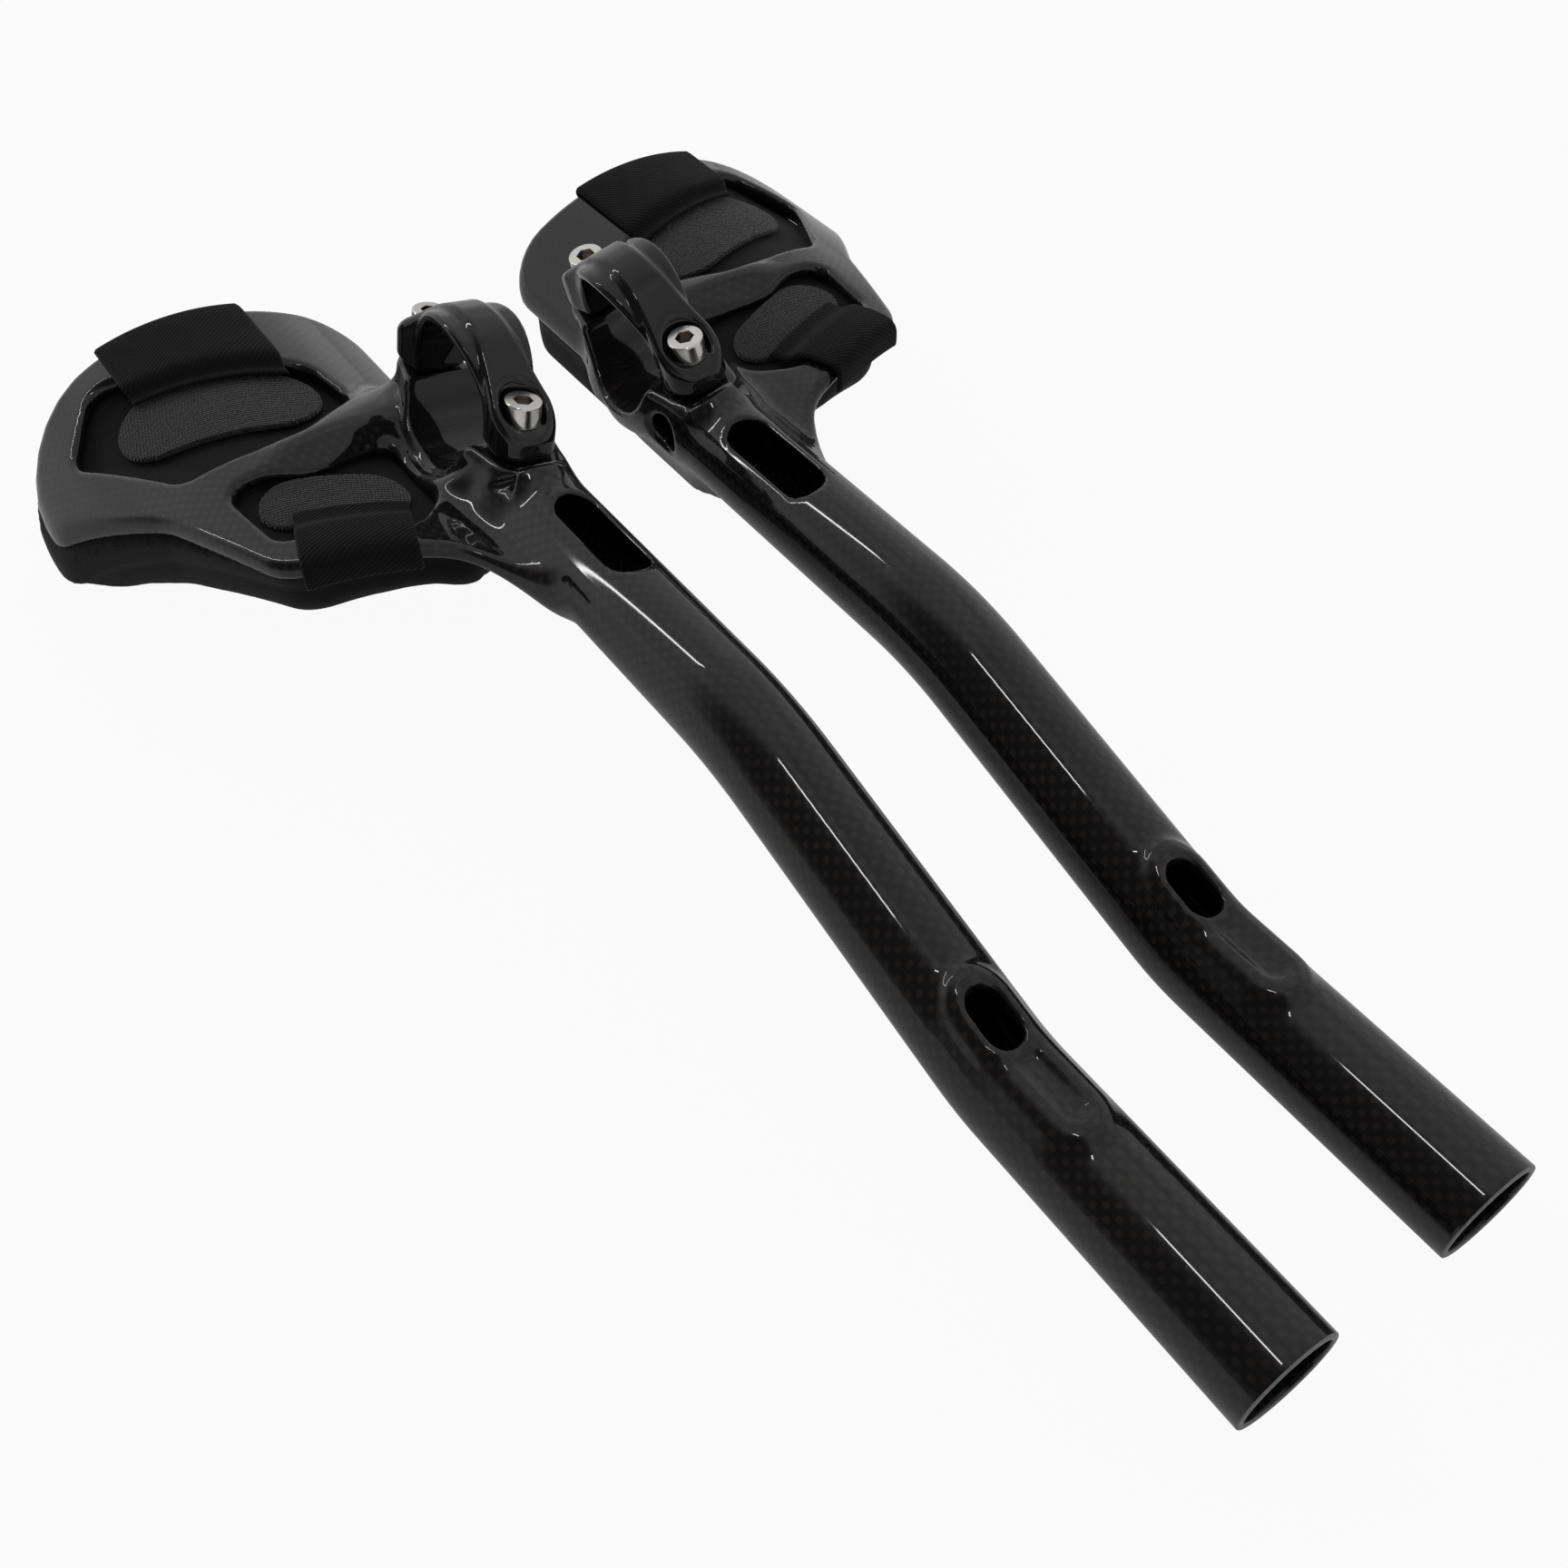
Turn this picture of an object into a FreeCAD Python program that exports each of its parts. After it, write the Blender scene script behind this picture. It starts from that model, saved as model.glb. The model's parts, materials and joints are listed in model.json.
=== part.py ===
import FreeCAD, Part
import Sketcher
import math
import os

V = FreeCAD.Vector

# Pair of moulded carbon time trial extensions with arm rests, lying pads down.
# Left bar frame: x runs forward from the clamp axis to the grip, y across, z up from the table.
# The left bar's arm rest is on its -y side. The right bar is its mirror image.

# Driving dimensions, in millimetres and degrees.

# Pair
BAR_SPACING = 42.3
# Tube
GRIP_RADIUS = 11.1
TUBE_WALL = 1.5
TUBE_START = 2
BORE_START = 36
BAR_END = 261.3
TUBE_OFFSET = -3.5
UPPER_HEIGHT = 33.5
DROP_START = 101.3
DROP_END = 198.7
UPPER_BEND = 90
LOWER_BEND = 42
# Cable slot and lower cable port
SLOT_CENTRE = 55.5
SLOT_LENGTH = 30
SLOT_WIDTH = 9
SLOT_TILT = 12
PORT_CENTRE = 188.5
PORT_LENGTH = 12
PORT_WIDTH = 7
# Clamp
CLAMP_RADIUS = 15.9
CLAMP_HEIGHT = 48.5
CLAMP_WIDTH = 26
CLAMP_LEAN = 12
CLAMP_SIDE = -1.7
BAR_RELIEF = 1.2
CAP_WALL = 3.6
RIB_RISE = 1.1
RIB_WAIST = 9
CAP_WIDTH = 18
SADDLE_WALL = 5.2
PART_HEIGHT = 45
PART_GAP = 0.8
EAR_FRONT = 50.5
FLANGE_REACH = 22
# Bolts and barrel nuts
BOLT_REACH = 22
EAR_RADIUS = 7.5
SEAT_HEIGHT = 52.5
BOLT_RADIUS = 2.5
BOLT_LENGTH = 20
HEAD_RADIUS = 4.25
HEAD_HEIGHT = 5
HEAD_ROUND = 0.4
SOCKET_FLATS = 4
SOCKET_DEPTH = 2.5
HOLE_CLEARANCE = 0.3
POCKET_CLEARANCE = 0.8
NUT_RADIUS = 4.5
NUT_LENGTH = 10
NUT_HEIGHT = 36
NUT_CLEARANCE = 0.1
NUT_SINK = 2.5
# Arm rest arch
REST_AXIS_SIDE = -47
REST_AXIS_HEIGHT = -21.3
REST_RADIUS = 63.8
REST_WALL = 4.5
REST_EDGE = 1.4
REST_REAR = -78
REST_INNER = -2.5
REST_OUTER = -94
REAR_ROUND = 28
RIM_ROUND = 14
INNER_ROUND = 13
NECK_ROUND = 5
SHOULDER_FRONT = -43
SHOULDER_SIDE = -94.5
WAIST_FRONT = -12
WAIST_SIDE = -74.5
WAIST_ROUND = 30
RIM_FRONT = 25
RIM_SIDE = -61.3
THROAT_FRONT = 36.5
THROAT_SIDE = -26
NECK_FRONT = 62
NECK_SIDE = -10
INNER_FRONT = 32
# Rear and front windows of the arm rest
WINDOW_ROUND = 6
REAR_WINDOW_BACK = -68.5
REAR_WINDOW_BACK_SIDE = -71
REAR_WINDOW_TIP = -51
REAR_WINDOW_TIP_SIDE = -83
REAR_WINDOW_FRONT = -19
REAR_WINDOW_FRONT_SIDE = -66.5
SPOKE_BACK = -16
SPOKE_BACK_SIDE = -37
REAR_WINDOW_INNER = -28.5
REAR_WINDOW_INNER_SIDE = -20.5
REAR_WINDOW_HEEL = -47.5
REAR_WINDOW_HEEL_SIDE = -24.5
FRONT_WINDOW_TIP = -9
FRONT_WINDOW_TIP_SIDE = -61
SPOKE_FRONT = -7
SPOKE_FRONT_SIDE = -38
FRONT_WINDOW_ROOT = -13
FRONT_WINDOW_INNER_SIDE = -19.5
FRONT_WINDOW_INNER = 14
FRONT_WINDOW_NOSE = 26
FRONT_WINDOW_NOSE_SIDE = -31
FRONT_WINDOW_RIM = 15
FRONT_WINDOW_RIM_SIDE = -58
# Spoke fairing from the saddle to the arm rest
FAIRING_ROOT_RADIUS = 8
FAIRING_TIP_RADIUS = 3
FAIRING_LENGTH = 33
FAIRING_ROOT_X = -23
FAIRING_ROOT_SIDE = -12
FAIRING_ROOT_HEIGHT = 31
FAIRING_SWEEP = 24
FAIRING_CLIMB = 14
# Pad
PAD_CLEARANCE = 0.3
PAD_THICKNESS = 17.5
PAD_INSET = 3
PAD_ROUND = 14
PAD_FRONT = 25.5
PAD_FRONT_SIDE = -40
PAD_CORNER = 26
PAD_CORNER_SIDE = -18
PAD_INNER_FRONT = 8
# Hook patches
PATCH_THICKNESS = 1.4
PATCH_CLEARANCE = 0.1
REAR_PATCH_X = -43
REAR_PATCH_Y = -49
REAR_PATCH_LENGTH = 48
REAR_PATCH_WIDTH = 24
FRONT_PATCH_X = 4.5
FRONT_PATCH_Y = -41
FRONT_PATCH_LENGTH = 33
FRONT_PATCH_WIDTH = 17
PATCH_TURN = 72
# Straps
STRAP_THICKNESS = 1.4
STRAP_CLEARANCE = 0.3
REAR_STRAP_WIDTH = 37
REAR_STRAP_DROP = 12
REAR_STRAP_BEND = -49.5
REAR_STRAP_RAMP = 3
REAR_STRAP_TAB = 3
REAR_STRAP_END = -50.5
REAR_STRAP_SKEW = 14
FRONT_STRAP_WIDTH = 25
FRONT_STRAP_X = 30.3
FRONT_STRAP_Y = -46
FRONT_STRAP_TURN = -18
FRONT_STRAP_DROP = 6.5
FRONT_STRAP_RIM = 10.5
FRONT_STRAP_RAMP = 4.5
FRONT_STRAP_TAB = 5

doc = FreeCAD.newDocument("TimeTrialBars")
sheet = doc.addObject("Spreadsheet::Sheet", "Sizes")


def fill_sheet(values):
    """Give each driving dimension a cell of the sheet, with its name in small letters as alias."""
    named = [(name, number) for name, number in values.items() if isinstance(number, (int, float))]
    for row, (name, number) in enumerate(named, 1):
        sheet.set("A%d" % row, name.lower())
        sheet.set("B%d" % row, str(number))
        sheet.setAlias("B%d" % row, name.lower())
    doc.recompute()


fill_sheet({name: number for name, number in globals().items() if name.isupper()})


def s(text):
    """Put the sheet's name before each alias in an expression."""
    words = text.replace("(", " ( ").replace(")", " ) ").split()
    return " ".join("Sizes." + word if word[0].isalpha() else word for word in words)


ON_SIDE = FreeCAD.Rotation(V(1, 0, 0), 90)
PAD_TOP = s("( rest_radius - rest_wall - pad_clearance )")


def value(alias):
    """Read one driving dimension back from the sheet."""
    return float(sheet.get(alias))


def bind(item, **links):
    """Tie properties of an object to expressions on the sheet."""
    for name, text in links.items():
        item.setExpression(name.replace("__", "."), text)
    return item


def place(item, x="0", y="0", z="0"):
    """Tie an object's position to expressions on the sheet."""
    item.setExpression("Placement.Base.x", x)
    item.setExpression("Placement.Base.y", y)
    item.setExpression("Placement.Base.z", z)
    return item


def turned(item, axis, angle):
    """Turn an object about an axis through its own origin."""
    item.Placement = FreeCAD.Placement(V(0, 0, 0), FreeCAD.Rotation(axis, angle))
    return item


def cylinder(name, axis, radius, height, x="0", y="0", z="0"):
    """A cylinder whose radius, height and position follow the sheet."""
    item = doc.addObject("Part::Cylinder", name)
    turns = {"x": (V(0, 1, 0), 90), "y": (V(1, 0, 0), -90), "z": (V(0, 0, 1), 0)}
    turned(item, *turns[axis])
    bind(item, Radius=radius, Height=height)
    return place(item, x, y, z)


def box(name, length, width, height, x, y, z):
    """A box whose sizes and lowest corner follow the sheet."""
    item = doc.addObject("Part::Box", name)
    bind(item, Length=length, Width=width, Height=height)
    return place(item, x, y, z)


def lean(name, item):
    """Lean upright clamp work about the bore's centre, its top towards the other bar."""
    leaned = doc.addObject("Part::Compound", name)
    leaned.Links = [item]
    turned(leaned, V(-1, 0, 0), value("clamp_lean"))
    leaned.setExpression("Placement.Rotation.Angle", s("clamp_lean"))
    return place(leaned, "0", "Sizes.clamp_side - Sizes.clamp_height * sin(Sizes.clamp_lean)",
                 "Sizes.clamp_height * (1 - cos(Sizes.clamp_lean))")


def fuse(name, *items):
    """Join shapes to one and merge the faces that run on."""
    item = doc.addObject("Part::MultiFuse", name)
    item.Shapes = list(items)
    item.Refine = True
    return item


def common(name, *items):
    """The room that all the shapes share."""
    item = doc.addObject("Part::MultiCommon", name)
    item.Shapes = list(items)
    return item


def cut(name, base, *tools):
    """Cut tools, one after another, from a base."""
    for count, tool in enumerate(tools, 1):
        last = count == len(tools)
        item = doc.addObject("Part::Cut", name if last else "%s_step%d" % (name, count))
        item.Base = base
        item.Tool = tool
        base = item
    return base


def extrude(name, base, direction, forward, reverse="0"):
    """A prism on a sketch or curve."""
    item = doc.addObject("Part::Extrusion", name)
    item.Base = base
    item.DirMode = "Custom"
    item.Dir = direction
    item.Solid = True
    return bind(item, LengthFwd=forward, LengthRev=reverse)


def polygon(name, corners, turn=None):
    """A closed sketch with each corner tied to a pair of expressions on the sheet."""
    sketch = doc.addObject("Sketcher::SketchObject", name)
    if turn:
        sketch.Placement = FreeCAD.Placement(V(0, 0, 0), turn)
    spots = [V(number(x), number(y), 0) for x, y in corners]
    count = len(spots)
    for index in range(count):
        sketch.addGeometry(Part.LineSegment(spots[index], spots[(index + 1) % count]))
    for index in range(count):
        sketch.addConstraint(Sketcher.Constraint("Coincident", index, 2, (index + 1) % count, 1))
    for index, (x, y) in enumerate(corners):
        for kind, text, spot in (("DistanceX", x, spots[index].x), ("DistanceY", y, spots[index].y)):
            place_at = sketch.addConstraint(Sketcher.Constraint(kind, -1, 1, index, 1, spot))
            sketch.setExpression("Constraints[%d]" % place_at, text)
    return sketch


def number(text):
    """Work out an expression on the sheet, for a sketch's first guess."""
    probe = doc.getObject("Probe") or doc.addObject("App::FeaturePython", "Probe")
    return float(probe.evalExpression(text))


def rounded(name, base, groups):
    """Round the upright edges of a prism: each group is a radius and the corners that take it."""
    doc.recompute()
    picked = []
    for radius, corners in groups:
        for x, y in corners:
            spot = V(number(x), number(y), 0)
            for index, edge in enumerate(base.Shape.Edges, 1):
                middle = edge.CenterOfMass
                upright = abs(edge.BoundBox.ZLength - edge.Length) < 1e-6
                if upright and math.hypot(middle.x - spot.x, middle.y - spot.y) < 1e-4:
                    picked.append((index, value(radius), value(radius)))
    item = doc.addObject("Part::Fillet", name)
    item.Base = base
    item.Edges = picked
    return item


def bar_line(name, start, end):
    """The bar's centre line: a high run, a drop between two tangent arcs, and the grip run."""
    sketch = doc.addObject("Sketcher::SketchObject", name)
    sketch.Placement = FreeCAD.Placement(V(0, 0, 0), ON_SIDE)
    place(sketch, y=s("tube_offset"))
    x_start, x_end = number(start), number(end)
    high, low = value("upper_height"), value("grip_radius")
    x_high, x_low = value("drop_start"), value("drop_end")
    r_high, r_low = value("upper_bend"), value("lower_bend")
    across, rise = x_low - x_high, r_high + r_low - (high - low)
    angle = math.atan2(across, rise) - math.acos((r_high + r_low) / math.hypot(across, rise))
    o_high, o_low = V(x_high, high - r_high, 0), V(x_low, low + r_low, 0)
    normal = V(math.sin(angle), math.cos(angle), 0)
    t_high, t_low = o_high + normal * r_high, o_low - normal * r_low
    up = V(0, 0, 1)
    quarter = math.pi / 2
    sketch.addGeometry(Part.LineSegment(V(x_start, high, 0), V(x_high, high, 0)))
    sketch.addGeometry(Part.ArcOfCircle(Part.Circle(o_high, up, r_high), quarter - angle, quarter))
    sketch.addGeometry(Part.LineSegment(t_high, t_low))
    sketch.addGeometry(Part.ArcOfCircle(Part.Circle(o_low, up, r_low), 3 * quarter - angle, 3 * quarter))
    sketch.addGeometry(Part.LineSegment(V(x_low, low, 0), V(x_end, low, 0)))
    for joint in ((0, 2, 1, 2), (1, 1, 2, 1), (2, 2, 3, 1), (3, 2, 4, 1)):
        sketch.addConstraint(Sketcher.Constraint("Tangent", *joint))
    sketch.addConstraint(Sketcher.Constraint("Horizontal", 0))
    sketch.addConstraint(Sketcher.Constraint("Horizontal", 4))
    for kind, spot, text in (
        ("DistanceX", (0, 1), start), ("DistanceY", (0, 1), s("upper_height")),
        ("DistanceX", (0, 2), s("drop_start")), ("DistanceX", (4, 1), s("drop_end")),
        ("DistanceY", (4, 2), s("grip_radius")), ("DistanceX", (4, 2), end),
    ):
        index = sketch.addConstraint(Sketcher.Constraint(kind, -1, 1, *spot, number(text)))
        sketch.setExpression("Constraints[%d]" % index, text)
    for arc, text in ((1, s("upper_bend")), (3, s("lower_bend"))):
        index = sketch.addConstraint(Sketcher.Constraint("Radius", arc, number(text)))
        sketch.setExpression("Constraints[%d]" % index, text)
    return sketch


def bar_sweep(name, radius, start, end):
    """A round section carried along the bar's centre line."""
    line = bar_line(name + "_line", start, end)
    ring = doc.addObject("Part::Circle", name + "_ring")
    turned(ring, V(0, 1, 0), 90)
    bind(ring, Radius=radius)
    place(ring, start, s("tube_offset"), s("upper_height"))
    sweep = doc.addObject("Part::Sweep", name)
    sweep.Sections = [ring]
    sweep.Spine = (line, ["Edge%d" % (index + 1) for index in range(5)])
    sweep.Solid = True
    sweep.Frenet = False
    return sweep


def obround(name, length, width):
    """A slot outline with round ends, long along x, about the origin."""
    sketch = doc.addObject("Sketcher::SketchObject", name)
    radius = number(width) / 2
    reach = number(length) / 2 - radius
    up = V(0, 0, 1)
    quarter = math.pi / 2
    sketch.addGeometry(Part.LineSegment(V(-reach, -radius, 0), V(reach, -radius, 0)))
    sketch.addGeometry(Part.ArcOfCircle(Part.Circle(V(reach, 0, 0), up, radius), -quarter, quarter))
    sketch.addGeometry(Part.LineSegment(V(reach, radius, 0), V(-reach, radius, 0)))
    sketch.addGeometry(Part.ArcOfCircle(Part.Circle(V(-reach, 0, 0), up, radius), quarter, 3 * quarter))
    for joint in ((0, 2, 1, 1), (1, 2, 2, 1), (2, 2, 3, 1), (3, 2, 0, 1)):
        sketch.addConstraint(Sketcher.Constraint("Tangent", *joint))
    sketch.addConstraint(Sketcher.Constraint("Horizontal", 0))
    sketch.addConstraint(Sketcher.Constraint("Symmetric", 1, 3, 3, 3, -1, 1))
    index = sketch.addConstraint(Sketcher.Constraint("Radius", 1, radius))
    sketch.setExpression("Constraints[%d]" % index, "(%s) / 2" % width)
    index = sketch.addConstraint(Sketcher.Constraint("DistanceX", 3, 3, 1, 3, 2 * reach))
    sketch.setExpression("Constraints[%d]" % index, "(%s) - (%s)" % (length, width))
    return sketch


def rest_cylinder(name, radius, rear, length):
    """A cylinder on the arm rest's own axis."""
    return cylinder(name, "x", radius, length, rear, s("rest_axis_side"), s("rest_axis_height"))


def arm_rest():
    """The arched plate with its two windows and rounded rims."""
    length = s("neck_front - rest_rear")
    outer = rest_cylinder("rest_outer_arch", s("rest_radius"), s("rest_rear"), length)
    inner = rest_cylinder("rest_inner_arch", s("rest_radius - rest_wall"), s("rest_rear"), length)
    shell = cut("rest_shell", outer, inner)
    rear_inner = (s("rest_rear"), s("rest_inner"))
    rear_outer = (s("rest_rear"), s("rest_outer"))
    shoulder = (s("shoulder_front"), s("shoulder_side"))
    waist = (s("waist_front"), s("waist_side"))
    rim = (s("rim_front"), s("rim_side"))
    throat = (s("throat_front"), s("throat_side"))
    neck = (s("neck_front"), s("neck_side"))
    inner_front = (s("inner_front"), s("rest_inner"))
    corners = [rear_inner, rear_outer, shoulder, waist, rim, throat, neck, inner_front]
    blank = extrude("rest_blank", polygon("rest_outline", corners), V(0, 0, 1), s("rest_radius"))
    blank = rounded("rest_prism", blank, [
        ("rear_round", [rear_outer]),
        ("rim_round", [shoulder, rim, throat]),
        ("waist_round", [waist]),
        ("inner_round", [rear_inner, inner_front]),
        ("neck_round", [neck]),
    ])
    plate = common("rest_plate", shell, blank)
    plate = cut("rest_open", plate, rear_window(), front_window())
    doc.recompute()
    edges = []
    for index, edge in enumerate(plate.Shape.Edges, 1):
        if on_upper_face(edge):
            edges.append((index, value("rest_edge"), value("rest_edge")))
    soft = doc.addObject("Part::Fillet", "rest_rounded")
    soft.Base = plate
    soft.Edges = edges
    return soft


def on_upper_face(edge):
    """True where an edge's ends and middle all lie on the arm rest's upper face."""
    slack = 1e-3
    first, last = edge.FirstParameter, edge.LastParameter
    spots = [edge.valueAt(first + share * (last - first)) for share in (0, 0.5, 1)]
    side, height = value("rest_axis_side"), value("rest_axis_height")
    reaches = [math.hypot(spot.y - side, spot.z - height) for spot in spots]
    return all(abs(reach - value("rest_radius")) < slack for reach in reaches)


def rear_window():
    """The large six-cornered opening behind the spoke."""
    corners = [
        (s("rear_window_back"), s("rear_window_back_side")),
        (s("rear_window_tip"), s("rear_window_tip_side")),
        (s("rear_window_front"), s("rear_window_front_side")),
        (s("spoke_back"), s("spoke_back_side")),
        (s("rear_window_inner"), s("rear_window_inner_side")),
        (s("rear_window_heel"), s("rear_window_heel_side")),
    ]
    outline = polygon("rear_window_outline", corners)
    blank = extrude("rear_window_blank", outline, V(0, 0, 1), s("rest_radius"))
    return rounded("rear_window", blank, [("window_round", corners)])


def front_window():
    """The smaller opening ahead of the spoke."""
    corners = [
        (s("front_window_tip"), s("front_window_tip_side")),
        (s("spoke_front"), s("spoke_front_side")),
        (s("front_window_root"), s("front_window_inner_side")),
        (s("front_window_inner"), s("front_window_inner_side")),
        (s("front_window_nose"), s("front_window_nose_side")),
        (s("front_window_rim"), s("front_window_rim_side")),
    ]
    outline = polygon("front_window_outline", corners)
    blank = extrude("front_window_blank", outline, V(0, 0, 1), s("rest_radius"))
    return rounded("front_window", blank, [("window_round", corners)])


def across_clamp(name, radius, half_width, z):
    """A cylinder along the clamp's axis, centred on the clamp."""
    return cylinder(name, "y", radius, "2 * (%s)" % half_width, "0", "-(%s)" % half_width, z)


def ear_prism(name, low, high):
    """The long outline of the clamp's two bolt ears, between two heights."""
    outline = obround(name + "_outline", s("2 * ( bolt_reach + ear_radius )"), s("2 * ear_radius"))
    prism = extrude(name, outline, V(0, 0, 1), "(%s) - (%s)" % (high, low))
    return place(prism, z=low)


def flange_prism(name, width, low, high):
    """The lens-shaped plan of the clamp's side flanges, between two heights."""
    lens = doc.addObject("Part::Ellipse", name + "_outline")
    bind(lens, MajorRadius=s("flange_reach"), MinorRadius="(%s) / 2" % width)
    prism = extrude(name, lens, V(0, 0, 1), "(%s) - (%s)" % (high, low))
    return place(prism, z=low)


def saddle():
    """The lower half of the clamp, before it is bored."""
    top = s("part_height - part_gap / 2")
    ears = ear_prism("saddle_ears", "0", top)
    ring = across_clamp("saddle_ring", s("clamp_radius + saddle_wall"), s("clamp_width"), s("clamp_height"))
    cradle = common("saddle_cradle", ring, flange_prism("saddle_lens", s("clamp_width"), "0", top))
    fairing = doc.addObject("Part::Cone", "spoke_fairing")
    sweep = FreeCAD.Rotation(V(0, 0, 1), value("fairing_sweep"))
    climb = FreeCAD.Rotation(V(1, 0, 0), 90 - value("fairing_climb"))
    fairing.Placement = FreeCAD.Placement(V(0, 0, 0), sweep.multiply(climb))
    bind(fairing, Radius1=s("fairing_root_radius"), Radius2=s("fairing_tip_radius"),
         Height=s("fairing_length"))
    place(fairing, s("fairing_root_x"), s("fairing_root_side"), s("fairing_root_height"))
    tube = bar_sweep("tube_outside", s("grip_radius"), s("tube_start"), s("bar_end"))
    block = lean("saddle_leaned", fuse("saddle_block", ears, cradle))
    joined = fuse("saddle_and_tube", block, fairing, tube)
    above = box("above_parting", s("2 * ( bolt_reach + ear_radius )"), s("clamp_width"), s("rest_radius"),
                s("- ( bolt_reach + ear_radius )"), s("- clamp_width / 2"), top)
    above = lean("above_leaned", above)
    void = rest_cylinder("under_arch", s("rest_radius - rest_wall"), s("2 * rest_rear"),
                         s("inner_front - 2 * rest_rear - rest_edge"))
    return cut("saddle_trimmed", joined, above, void)


def barrel_hole(side):
    """A cross hole for a barrel nut, open on the inner side of the saddle."""
    depth = s("ear_radius - nut_sink - nut_length - nut_clearance")
    return cylinder("barrel_hole_" + side, "y", s("nut_radius + nut_clearance"), s("3 * nut_length"),
                    bolt_place(side), depth, s("nut_height"))


def bar_way():
    """Room for the base bar where it leaves the clamp and passes over the arm rest."""
    reach = s("4 * clamp_width")
    return cylinder("bar_way", "y", s("clamp_radius + bar_relief"), reach, "0",
                    s("- clamp_width / 2") + " - " + reach, s("clamp_height"))


def bolt_place(side):
    """How far a bolt stands ahead of the clamp's axis."""
    return s("bolt_reach") if side == "front" else s("- bolt_reach")


def bolt_hole(name, side, low, high):
    """A clearance hole for a bolt's shank, between two heights."""
    return cylinder(name + side, "z", s("bolt_radius + hole_clearance"), "(%s) - (%s)" % (high, low),
                    bolt_place(side), "0", low)


def cable_slot():
    """The long slot in the bar's top, turned a little to the inner side."""
    outline = obround("slot_outline", s("slot_length"), s("slot_width"))
    slot = extrude("cable_slot", outline, V(0, 0, 1), s("2 * grip_radius"))
    turned(slot, V(1, 0, 0), -value("slot_tilt"))
    return place(slot, s("slot_centre"), s("tube_offset"), s("upper_height"))


def cable_port():
    """The short opening over the lower bend."""
    outline = obround("port_outline", s("port_length"), s("port_width"))
    port = extrude("cable_port", outline, V(0, 0, 1), s("3 * grip_radius"))
    return place(port, s("port_centre"), s("tube_offset"), s("grip_radius"))


def extension_bar():
    """One moulding: arm rest, spoke, clamp saddle and hollow tube."""
    body = fuse("bar_blank", saddle(), arm_rest())
    low = s("nut_height - 2 * nut_radius")
    high = s("part_height")
    cuts = [
        across_clamp("saddle_bore", s("clamp_radius"), s("clamp_width / 2"), s("clamp_height")),
        bar_way(),
    ]
    for side in ("front", "rear"):
        cuts.append(barrel_hole(side))
        cuts.append(bolt_hole("saddle_bolt_hole_", side, low, high))
    clamp_cuts = lean("clamp_cuts_leaned", fuse("clamp_cuts", *cuts))
    tube_cut = bar_sweep("tube_inside", s("grip_radius - tube_wall"), s("bore_start"),
                         s("bar_end + tube_wall"))
    return cut("extension_bar", body, clamp_cuts, tube_cut, cable_slot(), cable_port())


def cap_profile():
    """Side view of the cap's rib: an arch that falls straight to the two ears."""
    sketch = doc.addObject("Sketcher::SketchObject", "cap_profile")
    sketch.Placement = FreeCAD.Placement(V(0, 0, 0), ON_SIDE)
    reach = value("bolt_reach") + value("ear_radius")
    low = value("part_height") + value("part_gap") / 2
    front = value("ear_front")
    centre = value("clamp_height")
    radius = value("clamp_radius") + value("cap_wall")
    far = math.hypot(reach, front - centre)
    turn = math.atan2(front - centre, reach) + math.acos(radius / far)
    touch = V(radius * math.cos(turn), centre + radius * math.sin(turn), 0)
    left_touch = V(-touch.x, touch.y, 0)
    sketch.addGeometry(Part.LineSegment(V(-reach, low, 0), V(reach, low, 0)))
    sketch.addGeometry(Part.LineSegment(V(reach, low, 0), V(reach, front, 0)))
    sketch.addGeometry(Part.LineSegment(V(reach, front, 0), touch))
    crown = Part.Circle(V(0, centre, 0), V(0, 0, 1), radius)
    sketch.addGeometry(Part.ArcOfCircle(crown, turn, math.pi - turn))
    sketch.addGeometry(Part.LineSegment(left_touch, V(-reach, front, 0)))
    sketch.addGeometry(Part.LineSegment(V(-reach, front, 0), V(-reach, low, 0)))
    for joint in ((0, 2, 1, 1), (1, 2, 2, 1), (4, 2, 5, 1), (5, 2, 0, 1)):
        sketch.addConstraint(Sketcher.Constraint("Coincident", *joint))
    for joint in ((2, 2, 3, 1), (3, 2, 4, 1)):
        sketch.addConstraint(Sketcher.Constraint("Tangent", *joint))
    sketch.addConstraint(Sketcher.Constraint("Vertical", 1))
    sketch.addConstraint(Sketcher.Constraint("PointOnObject", 3, 3, -2))
    sketch.addConstraint(Sketcher.Constraint("Symmetric", 0, 1, 0, 2, -2))
    sketch.addConstraint(Sketcher.Constraint("Symmetric", 1, 2, 4, 2, -2))
    for kind, spot, text in (
        ("DistanceX", (1, 1), s("bolt_reach + ear_radius")),
        ("DistanceY", (1, 1), s("part_height + part_gap / 2")),
        ("DistanceY", (1, 2), s("ear_front")),
        ("DistanceY", (3, 3), s("clamp_height")),
    ):
        index = sketch.addConstraint(Sketcher.Constraint(kind, -1, 1, *spot, number(text)))
        sketch.setExpression("Constraints[%d]" % index, text)
    index = sketch.addConstraint(Sketcher.Constraint("Radius", 3, radius))
    sketch.setExpression("Constraints[%d]" % index, s("clamp_radius + cap_wall"))
    return sketch


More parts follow.
